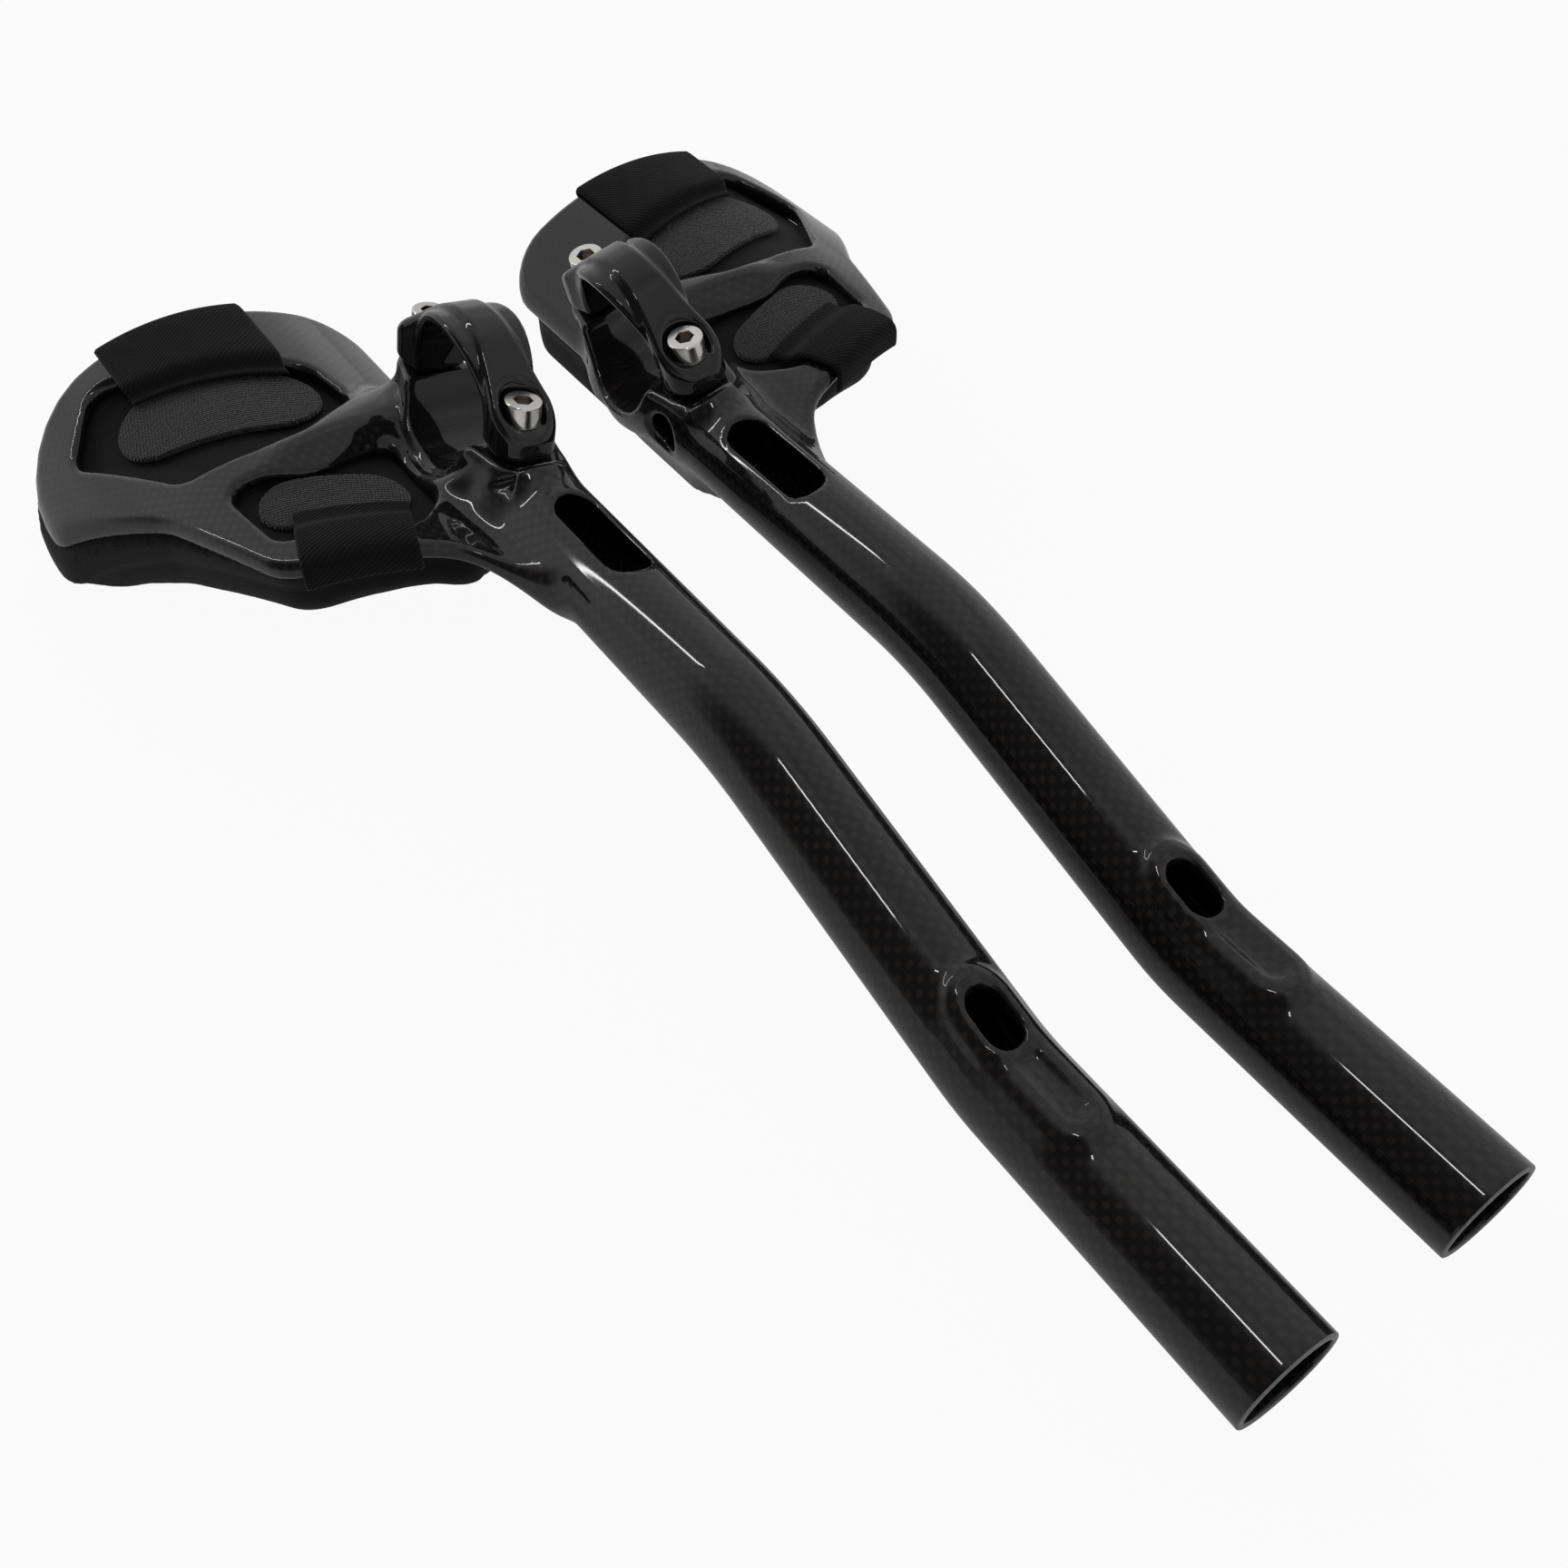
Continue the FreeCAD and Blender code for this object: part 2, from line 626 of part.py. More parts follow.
def waisted(name, prism, low, high):
    """Draw the rib in between its ears, with one long arc on each side that touches both ears."""
    step = s("ear_radius - rib_waist / 2")
    total = s("( ear_radius + rib_waist / 2 )")
    radius = "(%s / (%s) - %s) / 2" % (s("bolt_reach * bolt_reach"), step, total)
    reach = "%s + %s" % (s("rib_waist / 2"), radius)
    tall = "(%s) - (%s)" % (high, low)
    inner = cylinder(name + "_inner", "z", radius, tall, "0", reach, low)
    outer = cylinder(name + "_outer", "z", radius, tall, "0", "-(%s)" % reach, low)
    return cut(name, prism, inner, outer)


def clamp_cap():
    """The removable upper half of the clamp: a rib, two crescent flanges and two bolt ears."""
    low = s("part_height + part_gap / 2")
    top = s("clamp_height + clamp_radius + 2 * cap_wall")
    arch = extrude("cap_arch", cap_profile(), V(0, 1, 0), s("ear_radius"), s("ear_radius"))
    rib = common("cap_rib", arch, waisted("cap_waist", ear_prism("cap_ears", low, top), low, top))
    ring = across_clamp("cap_ring", s("clamp_radius + cap_wall - rib_rise"), s("clamp_width"),
                        s("clamp_height"))
    flange = common("cap_flange", ring, flange_prism("cap_lens", s("cap_width"), low, top))
    body = fuse("cap_blank", rib, flange)
    tools = [
        across_clamp("cap_bore", s("clamp_radius"), s("clamp_width"), s("clamp_height")),
        box("cap_mouth", s("2 * clamp_radius"), s("2 * clamp_width"), s("clamp_height - part_height"),
            s("- clamp_radius"), s("- clamp_width"), s("part_height")),
    ]
    for side in ("front", "rear"):
        tools.append(bolt_hole("cap_bolt_hole_", side, s("part_height"), top))
        tools.append(cylinder("head_pocket_" + side, "z", s("head_radius + pocket_clearance"),
                              s("clamp_radius"), bolt_place(side), "0", s("seat_height")))
    return cut("clamp_cap", body, *tools)


def clamp_bolt(side):
    """A socket head cap screw that points down into its barrel nut."""
    place_x = bolt_place(side)
    shank = cylinder("bolt_shank_" + side, "z", s("bolt_radius"), s("bolt_length"),
                     place_x, "0", s("seat_height - bolt_length"))
    head = cylinder("bolt_head_" + side, "z", s("head_radius"), s("head_height"),
                    place_x, "0", s("seat_height"))
    doc.recompute()
    soft = doc.addObject("Part::Fillet", "bolt_head_rounded_" + side)
    soft.Base = head
    top = head.Shape.BoundBox.ZMax
    soft.Edges = [
        (index, value("head_round"), value("head_round"))
        for index, edge in enumerate(head.Shape.Edges, 1)
        if edge.BoundBox.ZMin > top - 1e-6
    ]
    socket = doc.addObject("Part::Prism", "bolt_socket_" + side)
    socket.Polygon = 6
    bind(socket, Circumradius=s("socket_flats") + " / sqrt(3)", Height=s("head_height"))
    place(socket, place_x, "0", s("seat_height + head_height - socket_depth"))
    return cut("clamp_bolt_" + side, fuse("bolt_blank_" + side, shank, soft), socket)


def barrel_nut(side):
    """A round nut that lies across its bolt."""
    blank = cylinder("nut_blank_" + side, "y", s("nut_radius"), s("nut_length"),
                     bolt_place(side), s("ear_radius - nut_sink - nut_length"), s("nut_height"))
    thread = cylinder("nut_thread_" + side, "z", s("bolt_radius + nut_clearance"), s("4 * nut_radius"),
                      bolt_place(side), "0", s("nut_height - 2 * nut_radius"))
    return cut("barrel_nut_" + side, blank, thread)


def pair_of(name, maker):
    """The front and the rear one of a fastener."""
    group = doc.addObject("Part::Compound", name)
    group.Links = [maker("front"), maker("rear")]
    return group


def arm_pad():
    """The foam pad: an arch that follows the arm rest and stands on its two edges."""
    length = s("neck_front - rest_rear")
    outer = rest_cylinder("pad_outer_arch", PAD_TOP, s("rest_rear"), length)
    inner = rest_cylinder("pad_inner_arch", PAD_TOP + " - " + s("pad_thickness"), s("rest_rear"), length)
    shell = cut("pad_shell", outer, inner)
    corners = [
        (s("rest_rear"), s("rest_inner - pad_inset")),
        (s("rest_rear"), s("rest_outer + pad_inset")),
        (s("shoulder_front - pad_inset"), s("shoulder_side + pad_inset")),
        (s("waist_front - pad_inset"), s("waist_side + pad_inset")),
        (s("rim_front - pad_inset"), s("rim_side + pad_inset")),
        (s("pad_front"), s("pad_front_side")),
        (s("pad_corner"), s("pad_corner_side")),
        (s("pad_inner_front"), s("rest_inner - pad_inset")),
    ]
    blank = extrude("pad_blank", polygon("pad_outline", corners), V(0, 0, 1), s("rest_radius"))
    prism = rounded("pad_prism", blank, [("pad_round", corners)])
    return common("arm_pad", shell, prism)


def hook_patch(name, x, y, length, width):
    """A thin felt-like patch with round ends, curved to the pad's back."""
    inside = PAD_TOP + " + " + s("patch_clearance")
    rear = s("rest_rear")
    reach = s("neck_front - rest_rear")
    outer = rest_cylinder(name + "_outside", inside + " + " + s("patch_thickness"), rear, reach)
    inner = rest_cylinder(name + "_inside", inside, rear, reach)
    prism = extrude(name + "_prism", obround(name + "_outline", length, width), V(0, 0, 1), s("rest_radius"))
    turned(prism, V(0, 0, 1), value("patch_turn"))
    place(prism, x, y)
    return common(name, cut(name + "_shell", outer, inner), prism)


def strap_levels():
    """Heights of a strap's lower face at the crown of the arm rest: on the rim and on the patch."""
    axis = s("rest_axis_height + strap_clearance") + " + "
    rim = axis + s("rest_radius")
    patch = axis + PAD_TOP + " + " + s("patch_clearance + patch_thickness")
    return rim, patch


def strap_section(leg, rim, ramp, tab, drop, way):
    """A strap's side view: a leg outside the rim, a run over it, and a tab down on the patch."""
    high, low = strap_levels()
    thick = s("strap_thickness")
    foot = "%s - %s" % (high, drop)
    near = "%s - (%s) * %d" % (rim, ramp, way)
    end = "%s - (%s) * %d" % (near, tab, way)
    outside = "%s + %s * %d" % (leg, thick, way)
    return [
        (leg, foot), (leg, high), (rim, high), (near, low), (end, low),
        (end, "%s + %s" % (low, thick)), (near, "%s + %s" % (low, thick)),
        (rim, "%s + %s" % (high, thick)), (outside, "%s + %s" % (high, thick)), (outside, foot),
    ]


def rear_strap():
    """The wide elastic strap, wrapped over the rear rim and curved with the arm rest."""
    leg = s("rest_rear - strap_clearance")
    corners = strap_section(leg, s("rear_strap_bend"), s("rear_strap_ramp"), s("rear_strap_tab"),
                            s("rear_strap_drop"), -1)
    section = polygon("rear_strap_section", corners, ON_SIDE)
    place(section, y=s("rest_axis_side"))
    strap = doc.addObject("Part::Revolution", "rear_strap_whole")
    strap.Source = section
    strap.Axis = V(1, 0, 0)
    strap.Symmetric = True
    strap.Solid = True
    bind(strap, Base__y=s("rest_axis_side"), Base__z=s("rest_axis_height"),
         Angle=s("rear_strap_width / rest_radius") + " * 180 / pi")
    waste = box("rear_strap_waste", s("rear_strap_width"), s("3 * rear_strap_width"), s("2 * rest_radius"),
                "0", s("- 1.5 * rear_strap_width"), "0")
    trim = doc.addObject("Part::Compound", "rear_strap_trim")
    trim.Links = [waste]
    turned(trim, V(0, 0, -1), value("rear_strap_skew"))
    trim.setExpression("Placement.Rotation.Angle", s("rear_strap_skew"))
    place(trim, s("rear_strap_end"), s("rest_axis_side"))
    return cut("rear_strap", strap, trim)


def front_strap():
    """The narrow elastic strap, wrapped over the front rim."""
    corners = strap_section(s("strap_clearance"), s("- front_strap_rim"), s("front_strap_ramp"),
                            s("front_strap_tab"), s("front_strap_drop"), 1)
    section = polygon("front_strap_section", corners, ON_SIDE)
    half = s("front_strap_width / 2")
    strap = extrude("front_strap", section, V(0, 1, 0), half, half)
    turned(strap, V(0, 0, 1), value("front_strap_turn"))
    return place(strap, s("front_strap_x"), s("front_strap_y"))


pieces = {
    "extension_bar": extension_bar(),
    "clamp_cap": lean("cap_leaned", clamp_cap()),
    "clamp_bolts": lean("bolts_leaned", pair_of("clamp_bolts", clamp_bolt)),
    "barrel_nuts": lean("nuts_leaned", pair_of("barrel_nuts", barrel_nut)),
    "arm_pad": arm_pad(),
    "rear_hook_patch": hook_patch("rear_hook_patch", s("rear_patch_x"), s("rear_patch_y"),
                                  s("rear_patch_length"), s("rear_patch_width")),
    "front_hook_patch": hook_patch("front_hook_patch", s("front_patch_x"), s("front_patch_y"),
                                   s("front_patch_length"), s("front_patch_width")),
    "rear_strap": rear_strap(),
    "front_strap": front_strap(),
}

# Each piece is moved from the bar's frame to the pair's frame, and mirrored for the right bar.
doc.recompute()
centre_x = s("- ( bar_end + rest_rear - strap_clearance - strap_thickness ) / 2")
centre_y = s("- bar_spacing / 2")
nodes = []
for name, piece in pieces.items():
    left = doc.addObject("Part::Compound", "left_" + name)
    left.Links = [piece]
    left.Label = "left_" + name
    place(left, centre_x, centre_y)
    right = doc.addObject("Part::Mirroring", "right_" + name)
    right.Source = left
    right.Normal = V(0, 1, 0)
    right.Label = "right_" + name
    nodes += [left, right]
doc.recompute()

for item in doc.Objects:
    if {"Invalid", "Error"} & set(item.State):
        raise RuntimeError("%s failed: %s" % (item.Label, item.State))
for node in nodes:
    if node.Shape.isNull() or not node.Shape.isValid() or not node.Shape.Solids:
        raise RuntimeError("%s has no valid solid" % node.Label)

os.makedirs("parts", exist_ok=True)
for node in nodes:
    node.Shape.exportStep("parts/%s.step" % node.Label)
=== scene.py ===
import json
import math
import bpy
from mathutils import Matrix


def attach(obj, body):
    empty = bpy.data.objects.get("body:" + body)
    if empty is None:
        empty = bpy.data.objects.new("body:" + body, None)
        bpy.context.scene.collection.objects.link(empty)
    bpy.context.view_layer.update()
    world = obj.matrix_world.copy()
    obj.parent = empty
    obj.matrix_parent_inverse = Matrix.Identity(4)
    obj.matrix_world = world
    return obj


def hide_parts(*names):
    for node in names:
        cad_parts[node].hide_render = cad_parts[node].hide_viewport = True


bl_info = {
    "name": "Time Trial Handlebar",
    "version": (1, 0, 0),
    "blender": (4, 5, 0),
    "location": "3D View > Sidebar > Handlebar",
    "description": "Dresses a pair of moulded carbon extensions with lacquer, pads, felt and webbing",
    "category": "Object",
}

import bpy
import numpy as np
from bpy.props import FloatProperty, FloatVectorProperty, PointerProperty
from mathutils import Matrix, Vector

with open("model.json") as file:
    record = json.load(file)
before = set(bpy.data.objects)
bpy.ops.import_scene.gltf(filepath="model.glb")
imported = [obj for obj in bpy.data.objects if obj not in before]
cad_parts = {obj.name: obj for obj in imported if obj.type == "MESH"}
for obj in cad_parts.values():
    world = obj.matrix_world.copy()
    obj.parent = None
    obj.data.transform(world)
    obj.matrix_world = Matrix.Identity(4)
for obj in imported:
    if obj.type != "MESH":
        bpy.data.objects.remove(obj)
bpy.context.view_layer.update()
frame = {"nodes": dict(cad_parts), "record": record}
CLAMP_MOUNT = next(mount for mount in frame["record"]["mounts"] if mount["name"] == "left_base_bar_clamp")
GRIP_MOUNT = next(mount for mount in frame["record"]["mounts"] if mount["name"] == "left_grip_bore")
BAR_X, CLAMP_Y, CLAMP_Z = CLAMP_MOUNT["pos_m"]
TUBE_OFFSET = -0.0035
BAR_Y = GRIP_MOUNT["pos_m"][1] - TUBE_OFFSET
SIDES = ("left", "right")

# Finer points of the pieces, in metres, radians and shares.
REST_REAR = -0.078
CAP_SIDE_STEPS = 40
DIMPLE_TILT = (0.94, 0.35)
SIN_60 = 0.866
PARTING_LAND = 0.001
PARTING_RAMP = 0.8
GRIP_SEAM = 0.012
SWELL_FRAMES = 20
SEAM_SHARE = 0.42
SEAM_HALF = 0.0018
WALL_DEPTH = 0.001
HEM_RIM = 0.0004
HEM_PASSES = 3
HEM_DEPTH = 0.005
HEM_WIDTH = 0.012
HEM_MOST = 0.001
PROBE = 0.0001
PATCH_TURN = math.radians(72)
PATCH_CLEARANCE = 0.0001
PATCH_ROOM = 0.002
NAP_DEPTH = 0.00008
STRAP_CLEARANCE = 0.0003
FRONT_STRAP_TURN = math.radians(-18)
FRONT_STRAP_AT = (0.0303, -0.046)
FRONT_STRAP_FALL = 0.9
SOCKET_REACH = 0.0024
SOCKET_LIP = 0.0046
TUBE_ALONE = 0.045
WEAVE_DEPTH = 0.0022
FAR_STRIP_TURN = math.atan2(-0.81, -0.58)

# A cut whose distance grows too fast on its slanted side is scaled back by this share.
SLANT = 0.8

# Where the pad's rear outer corner leans in and where it presses on the rest: a start and a run each.
LEAN_BACK = (-0.002, 0.062)
LEAN_OUT = (-0.055, 0.027)
PRESS_BACK = (-0.030, 0.008)
PRESS_OUT = (-0.078, 0.005)

# Boxes and cell sizes of the nets.
BAR_BOX = ((-0.0791, -0.0981, -0.0002), (0.2615, 0.012, 0.052))
BAR_STEP = 0.00082
CAP_BOX = ((-0.031, -0.018, 0.040), (0.031, 0.022, 0.072))
PAD_BOX = ((-0.079, -0.0975, 0.0), (0.027, 0.003, 0.039))
PAD_STEP = 0.0020
PATCH_HEIGHTS = (0.030, 0.041)
FINE_STEP = 0.0005

# The felt patches: kind, middle, length and width.
PATCHES = (("rear", (-0.043, -0.049), 0.048, 0.024), ("front", (0.0045, -0.041), 0.033, 0.017))


def length(name, description, default):
    """A length that a user may change."""
    return FloatProperty(name=name, description=description, default=default, unit="LENGTH", precision=5)


def angle(name, description, degrees):
    """An angle that a user may change, given in degrees."""
    return FloatProperty(name=name, description=description, default=math.radians(degrees), subtype="ANGLE")


def number(name, description, default):
    """A plain number that a user may change."""
    return FloatProperty(name=name, description=description, default=default)


def colour(name, description, default):
    """A colour that a user may change."""
    return FloatVectorProperty(name=name, description=description, default=default, subtype="COLOR",
                               size=3, min=0, max=1)


def position(name, description, default):
    """A place that a user may change."""
    return FloatVectorProperty(name=name, description=description, default=default, subtype="TRANSLATION",
                               unit="LENGTH")


def direction(name, description, default):
    """A direction that a user may change."""
    return FloatVectorProperty(name=name, description=description, default=default, subtype="DIRECTION")


class TubeSizes(bpy.types.PropertyGroup):
    """The dropped tube and its openings, measured ahead of the clamp's axis."""
    radius: length("Radius", "Outside radius of the tube", 0.0111)
    wall: length("Wall", "Thickness of the tube's wall", 0.0015)
    start: length("Start", "Where the tube leaves the saddle", 0.002)
    bore_start: length("Bore start", "Where the tube's hollow begins", 0.036)
    end: length("End", "Cut end of the grip", GRIP_MOUNT["pos_m"][0] - BAR_X)
    offset: length("Offset", "Side of the tube's centre line", TUBE_OFFSET)
    upper_height: length("Upper height", "Height of the upper run", 0.0335)
    drop_start: length("Drop start", "Where the upper bend begins", 0.1013)
    drop_end: length("Drop end", "Where the lower bend ends", 0.1987)
    upper_bend: length("Upper bend", "Radius of the upper bend", 0.090)
    lower_bend: length("Lower bend", "Radius of the lower bend", 0.042)
    slot_centre: length("Slot centre", "Middle of the cable slot", 0.0555)
    slot_length: length("Slot length", "Length of the cable slot", 0.030)
    slot_width: length("Slot width", "Width of the cable slot", 0.009)
    slot_tilt: angle("Slot tilt", "Turn of the slot to the inner side", 12)
    port_centre: length("Port centre", "Middle of the lower port", 0.1885)
    port_length: length("Port length", "Length of the lower port", 0.012)
    port_width: length("Port width", "Width of the lower port", 0.007)
    port_lip: length("Port lip", "Rise of the resin lip round the lower port", 0.0009)
    lip_width: length("Lip width", "Half width of the resin lip", 0.0016)
    fold_ahead: length("Fold ahead", "Middle of the fold, ahead of the lower port", 0.0085)
    fold_length: length("Fold length", "Length of the fold round the lower port", 0.034)
    fold_width: length("Fold width", "Width of the fold round the lower port", 0.0098)
    fold_half: length("Fold half", "Half width of the fold's ridge", 0.0013)
    pinch_at: position("Pinch", "Place ahead of the port, aside and up", (0.0135, 0.0012, 0.0262))
    pinch_radius: length("Pinch radius", "Radius of the pinch", 0.0040)
    pinch_stretch: number("Pinch stretch", "How much longer than wide the pinch is", 2.4)


class ClampSizes(bpy.types.PropertyGroup):
    """The split clamp, its saddle and its bolts."""
    radius: length("Radius", "Radius of the bore", CLAMP_MOUNT["dims"]["r_mm"] / 1000)
    side: length("Side", "Side of the clamp's middle", CLAMP_Y - BAR_Y)
    width: length("Width", "Width over the saddle's flanges", 0.026)
    relief: length("Relief", "Room round the base bar beyond the clamp", 0.0012)
    lean: angle("Lean", "Lean of the clamp's top towards the other bar", 12)
    saddle_wall: length("Saddle wall", "Wall below the bore", 0.0052)
    cap_wall: length("Cap wall", "Wall over the bore, at the rib", 0.0036)
    rib_rise: length("Rib rise", "Step from the cap's flanges to its rib", 0.0012)
    rib_waist: length("Rib waist", "Width of the cap's rib over the bore", 0.009)
    cap_width: length("Cap width", "Width over the cap's flanges", 0.018)
    parting: length("Parting", "Height of the joint between the halves", 0.045)
    parting_gap: length("Parting gap", "Gap between the halves", 0.0008)
    ear_front: length("Ear front", "Height of the cap's ends", 0.0505)
    flange_reach: length("Flange reach", "Half length of the flanges", 0.022)
    bolt_reach: length("Bolt reach", "Bolt to clamp axis", 0.022)
    ear_radius: length("Ear radius", "Radius of the bolt ears", 0.0075)
    seat: length("Seat", "Height of the bolt heads' seats", 0.0525)
    bolt_hole: length("Bolt hole", "Radius of the bolt holes", 0.0028)
    pocket: length("Pocket", "Radius of the head pockets", 0.00505)
    nut_hole: length("Nut hole", "Radius of the barrel nut holes", 0.0046)
    nut_height: length("Nut height", "Height of the barrel nuts", 0.036)
    nut_floor: length("Nut floor", "Bottom of the barrel nut holes", -0.0051)
    bolt_floor: length("Bolt floor", "Bottom of the bolt holes", 0.027)
    dimple_at: position("Dimple", "Middle of the dimple in the shoulder", (0.0297, -0.0110, 0.0437))
    dimple_size: length("Dimple size", "Middle of the dimple to its sides", 0.0020)
    dimple_depth: length("Dimple depth", "Depth of the dimple", 0.0014)


class RestSizes(bpy.types.PropertyGroup):
    """The arched arm rest."""
    axis_side: length("Axis side", "Side of the arch's axis", -0.047)
    axis_height: length("Axis height", "Height of the arch's axis", -0.0213)
    radius: length("Radius", "Outside radius of the arch", 0.0638)
    wall: length("Wall", "Thickness of the arch", 0.0045)
    edge: length("Edge", "Roundness of the rims", 0.0021)
    under_end: length("Under end", "Where the hollow below the arch ends", 0.0306)
    blend: length("Blend", "Fillet between the moulding's limbs", 0.009)
    fairing_root: length("Fairing root", "Radius of the spoke's fairing at the saddle", 0.008)
    fairing_tip: length("Fairing tip", "Radius of the spoke's fairing at its end", 0.003)
    fairing_length: length("Fairing length", "Length of the spoke's fairing", 0.033)
    fairing_sweep: angle("Fairing sweep", "Turn of the spoke's fairing towards the grip", 24)
    fairing_climb: angle("Fairing climb", "Rise of the spoke's fairing", 14)
    fairing_at: position("Fairing", "Where the spoke's fairing starts", (-0.023, -0.012, 0.031))


class EdgeSizes(bpy.types.PropertyGroup):
    """Fillets and round edges."""
    ears: length("Ears", "Edges of the ears and the cradle", 0.001)
    saddle: length("Saddle", "Fillet between the cradle and its ears", 0.004)
    spoke: length("Spoke", "Fillet along the spoke", 0.006)
    pinch: length("Pinch", "Rim of the pinch", 0.0017)
    lip_edge: length("Lip edge", "Edge of the port's lip", 0.0008)
    lip: length("Lip", "Fillet below the port's lip", 0.002)
    fold_edge: length("Fold edge", "Edge of the fold", 0.0007)
    fold: length("Fold", "Fillet below the fold", 0.0035)
    under_end: length("Under end", "Front edge of the hollow below the arch", 0.002)
    under: length("Under", "Rims of the hollow below the arch", 0.001)
    parting: length("Parting", "Edges of the saddle's parting face", 0.0015)
    bore: length("Bore", "Rims of the saddle's bore", 0.001)
    relief: length("Relief", "Rim of the room round the base bar", 0.003)
    dimple: length("Dimple", "Corners inside the dimple", 0.0009)
    hole: length("Hole", "Rims of the bolt holes and the dimple", 0.0008)
    opening: length("Opening", "Rims of the slot, the port and the nut holes", 0.0016)
    saw_cut: length("Saw cut", "Edges of the sawn end and the hollow", 0.0004)
    rib: length("Rib", "Edges of the cap's rib", 0.0016)
    flange: length("Flange", "Edges of the cap's flanges", 0.0009)
    step: length("Step", "Fillet between the cap's rib and flanges", 0.0011)
    cap_rim: length("Cap rim", "Rims of the cap's bore and parting face", 0.0012)
    cap_hole: length("Cap hole", "Rims of the cap's bolt holes", 0.0004)
    pocket: length("Pocket", "Rims of the head pockets", 0.0014)
    pad_foot: length("Pad foot", "Edges that the pad stands on", 0.004)
    patch: length("Patch", "Edges of the felt patches", 0.0005)


class SoftSizes(bpy.types.PropertyGroup):
    """Pads, patches and straps."""
    pad_radius: length("Pad radius", "Radius of the pad's back", 0.0590)
    pad_thickness: length("Pad thickness", "Thickness of the pad", 0.0175)
    pad_edge: length("Pad edge", "Roundness of the pad's lower edges", 0.0075)
    pad_rim: length("Pad rim", "Roundness of the pad's edges below the arm rest", 0.0008)
    pad_swell: length("Pad swell", "Most that the pad may swell", 0.0008)
    pad_foot: length("Pad foot", "Height of the pad's lower edges", 0.0006)
    pad_lean: number("Pad lean", "How steeply the rear outer corner leans in", 0.65)
    pad_lean_depth: length("Pad lean depth", "How far below the pad's back the lean starts", 0.0045)
    pad_lift: length("Pad lift", "Rise of the pad's rear outer corner", 0.004)
    pad_press: length("Pad press", "How far the pad's back rises against the rest", 0.00025)
    patch_thickness: length("Patch thickness", "Thickness of the felt patches", 0.0014)
    strap_thickness: length("Strap thickness", "Thickness of the webbing", 0.0013)
    rear_strap_width: length("Rear strap width", "Width of the rear strap", 0.037)
    front_strap_width: length("Front strap width", "Width of the front strap", 0.025)
    rear_strap_end: length("Rear strap end", "Where the rear strap's free end lies", -0.0505)
    rear_strap_skew: angle("Rear strap skew", "Slant of the rear strap's free end", 14)
    rear_strap_drop: length("Rear strap drop", "How far the rear strap hangs behind the rim", 0.012)
    front_strap_drop: length("Front strap drop", "How far the front strap hangs before the rim", 0.0065)


class Finishes(bpy.types.PropertyGroup):
    """Colours of the surfaces."""
    # The carbon's own dark colour, and a lighter tone that is painted sheen on tows that face the light.
    carbon_dark: colour("Carbon dark", "Tows that turn away from the light", (0.0055, 0.0055, 0.006))
    carbon_tow_sheen: colour("Carbon light", "Tows that face the light", (0.026, 0.020, 0.0165))
    carbon_cut: colour("Carbon cut", "Sawn ends of the grips", (0.34, 0.34, 0.345))
    lacquer: colour("Lacquer", "Gloss black of the clamp caps", (0.006, 0.006, 0.0065))
    steel: colour("Steel", "Polished bolts", (0.92, 0.90, 0.87))
    # Painted shade: a dark brown laid inside the bolts' hex sockets, where the recess lies in shade.
    socket: colour("Socket", "Grease in the bolts' sockets", (0.16, 0.12, 0.09))
    nut: colour("Nut", "Barrel nuts", (0.16, 0.16, 0.165))
    cover: colour("Cover", "Knitted cover of the pads", (0.0075, 0.0075, 0.008))
    felt: colour("Felt", "Loop felt of the patches", (0.021, 0.0215, 0.0235))
    webbing: colour("Webbing", "Elastic webbing", (0.0055, 0.0055, 0.006))
    floor: colour("Floor", "Pale floor", (0.86, 0.86, 0.86))


class StageSizes(bpy.types.PropertyGroup):
    """Camera and light."""
    focal_length: FloatProperty(name="Focal length", description="Lens of the camera in millimetres",
                                default=36.02, unit="CAMERA")
    camera_at: position("Camera", "Place of the camera", (0.1995, -0.14315, 0.2587))
    camera_way: direction("View", "Direction of the view", (-0.5376, 0.3850, -0.7502))
    world_light: number("World light", "Strength of the surrounding light", 0.58)
    world_dark: number("Dark side", "Strength of the light by the camera", 0.04)
    dark_way: direction("Dark way", "Direction of the dark side", (0.1, -0.79, 0.6))
    near_strip_at: position("Near strip", "Place of the short strip lamp", (0.05, -0.2, 0.75))
    near_strip_power: number("Near strip power", "Power of the short strip lamp in watts", 0.24)
    far_strip_at: position("Far strip", "Place of the long strip lamp", (-0.83, -0.55, 0.75))
    far_strip_power: number("Far strip power", "Power of the long strip lamp in watts", 1.2)
    floor_size: length("Floor size", "Side of the floor", 6.0)


class HandlebarSettings(bpy.types.PropertyGroup):
    """Everything that a user would change."""
    tube: PointerProperty(type=TubeSizes, name="Tube", description="The dropped tube")
    clamp: PointerProperty(type=ClampSizes, name="Clamp", description="The split clamp")
    rest: PointerProperty(type=RestSizes, name="Arm rest", description="The arched arm rest")
    edge: PointerProperty(type=EdgeSizes, name="Edges", description="Fillets and round edges")
    soft: PointerProperty(type=SoftSizes, name="Soft goods", description="Pads, patches and straps")
    finish: PointerProperty(type=Finishes, name="Finishes", description="Colours of the surfaces")
    stage: PointerProperty(type=StageSizes, name="Stage", description="Camera and light")


# Forms as distances: below zero inside, above zero outside.

def joined(first, second, soft):
    """Two forms as one, with a fillet of about the given size where they meet."""
    near = np.maximum(soft - np.abs(first - second), 0) / soft
    return np.minimum(first, second) - near * near * soft / 4


def without(form, tool, soft):
    """A form with a tool cut from it, and a soft rim round the cut."""
    return -joined(-form, tool, soft)


def shared(first, second, radius):
    """What two forms share, with a round edge."""
    a, b = first + radius, second + radius
    return np.minimum(np.maximum(a, b), 0) + np.hypot(np.maximum(a, 0), np.maximum(b, 0)) - radius


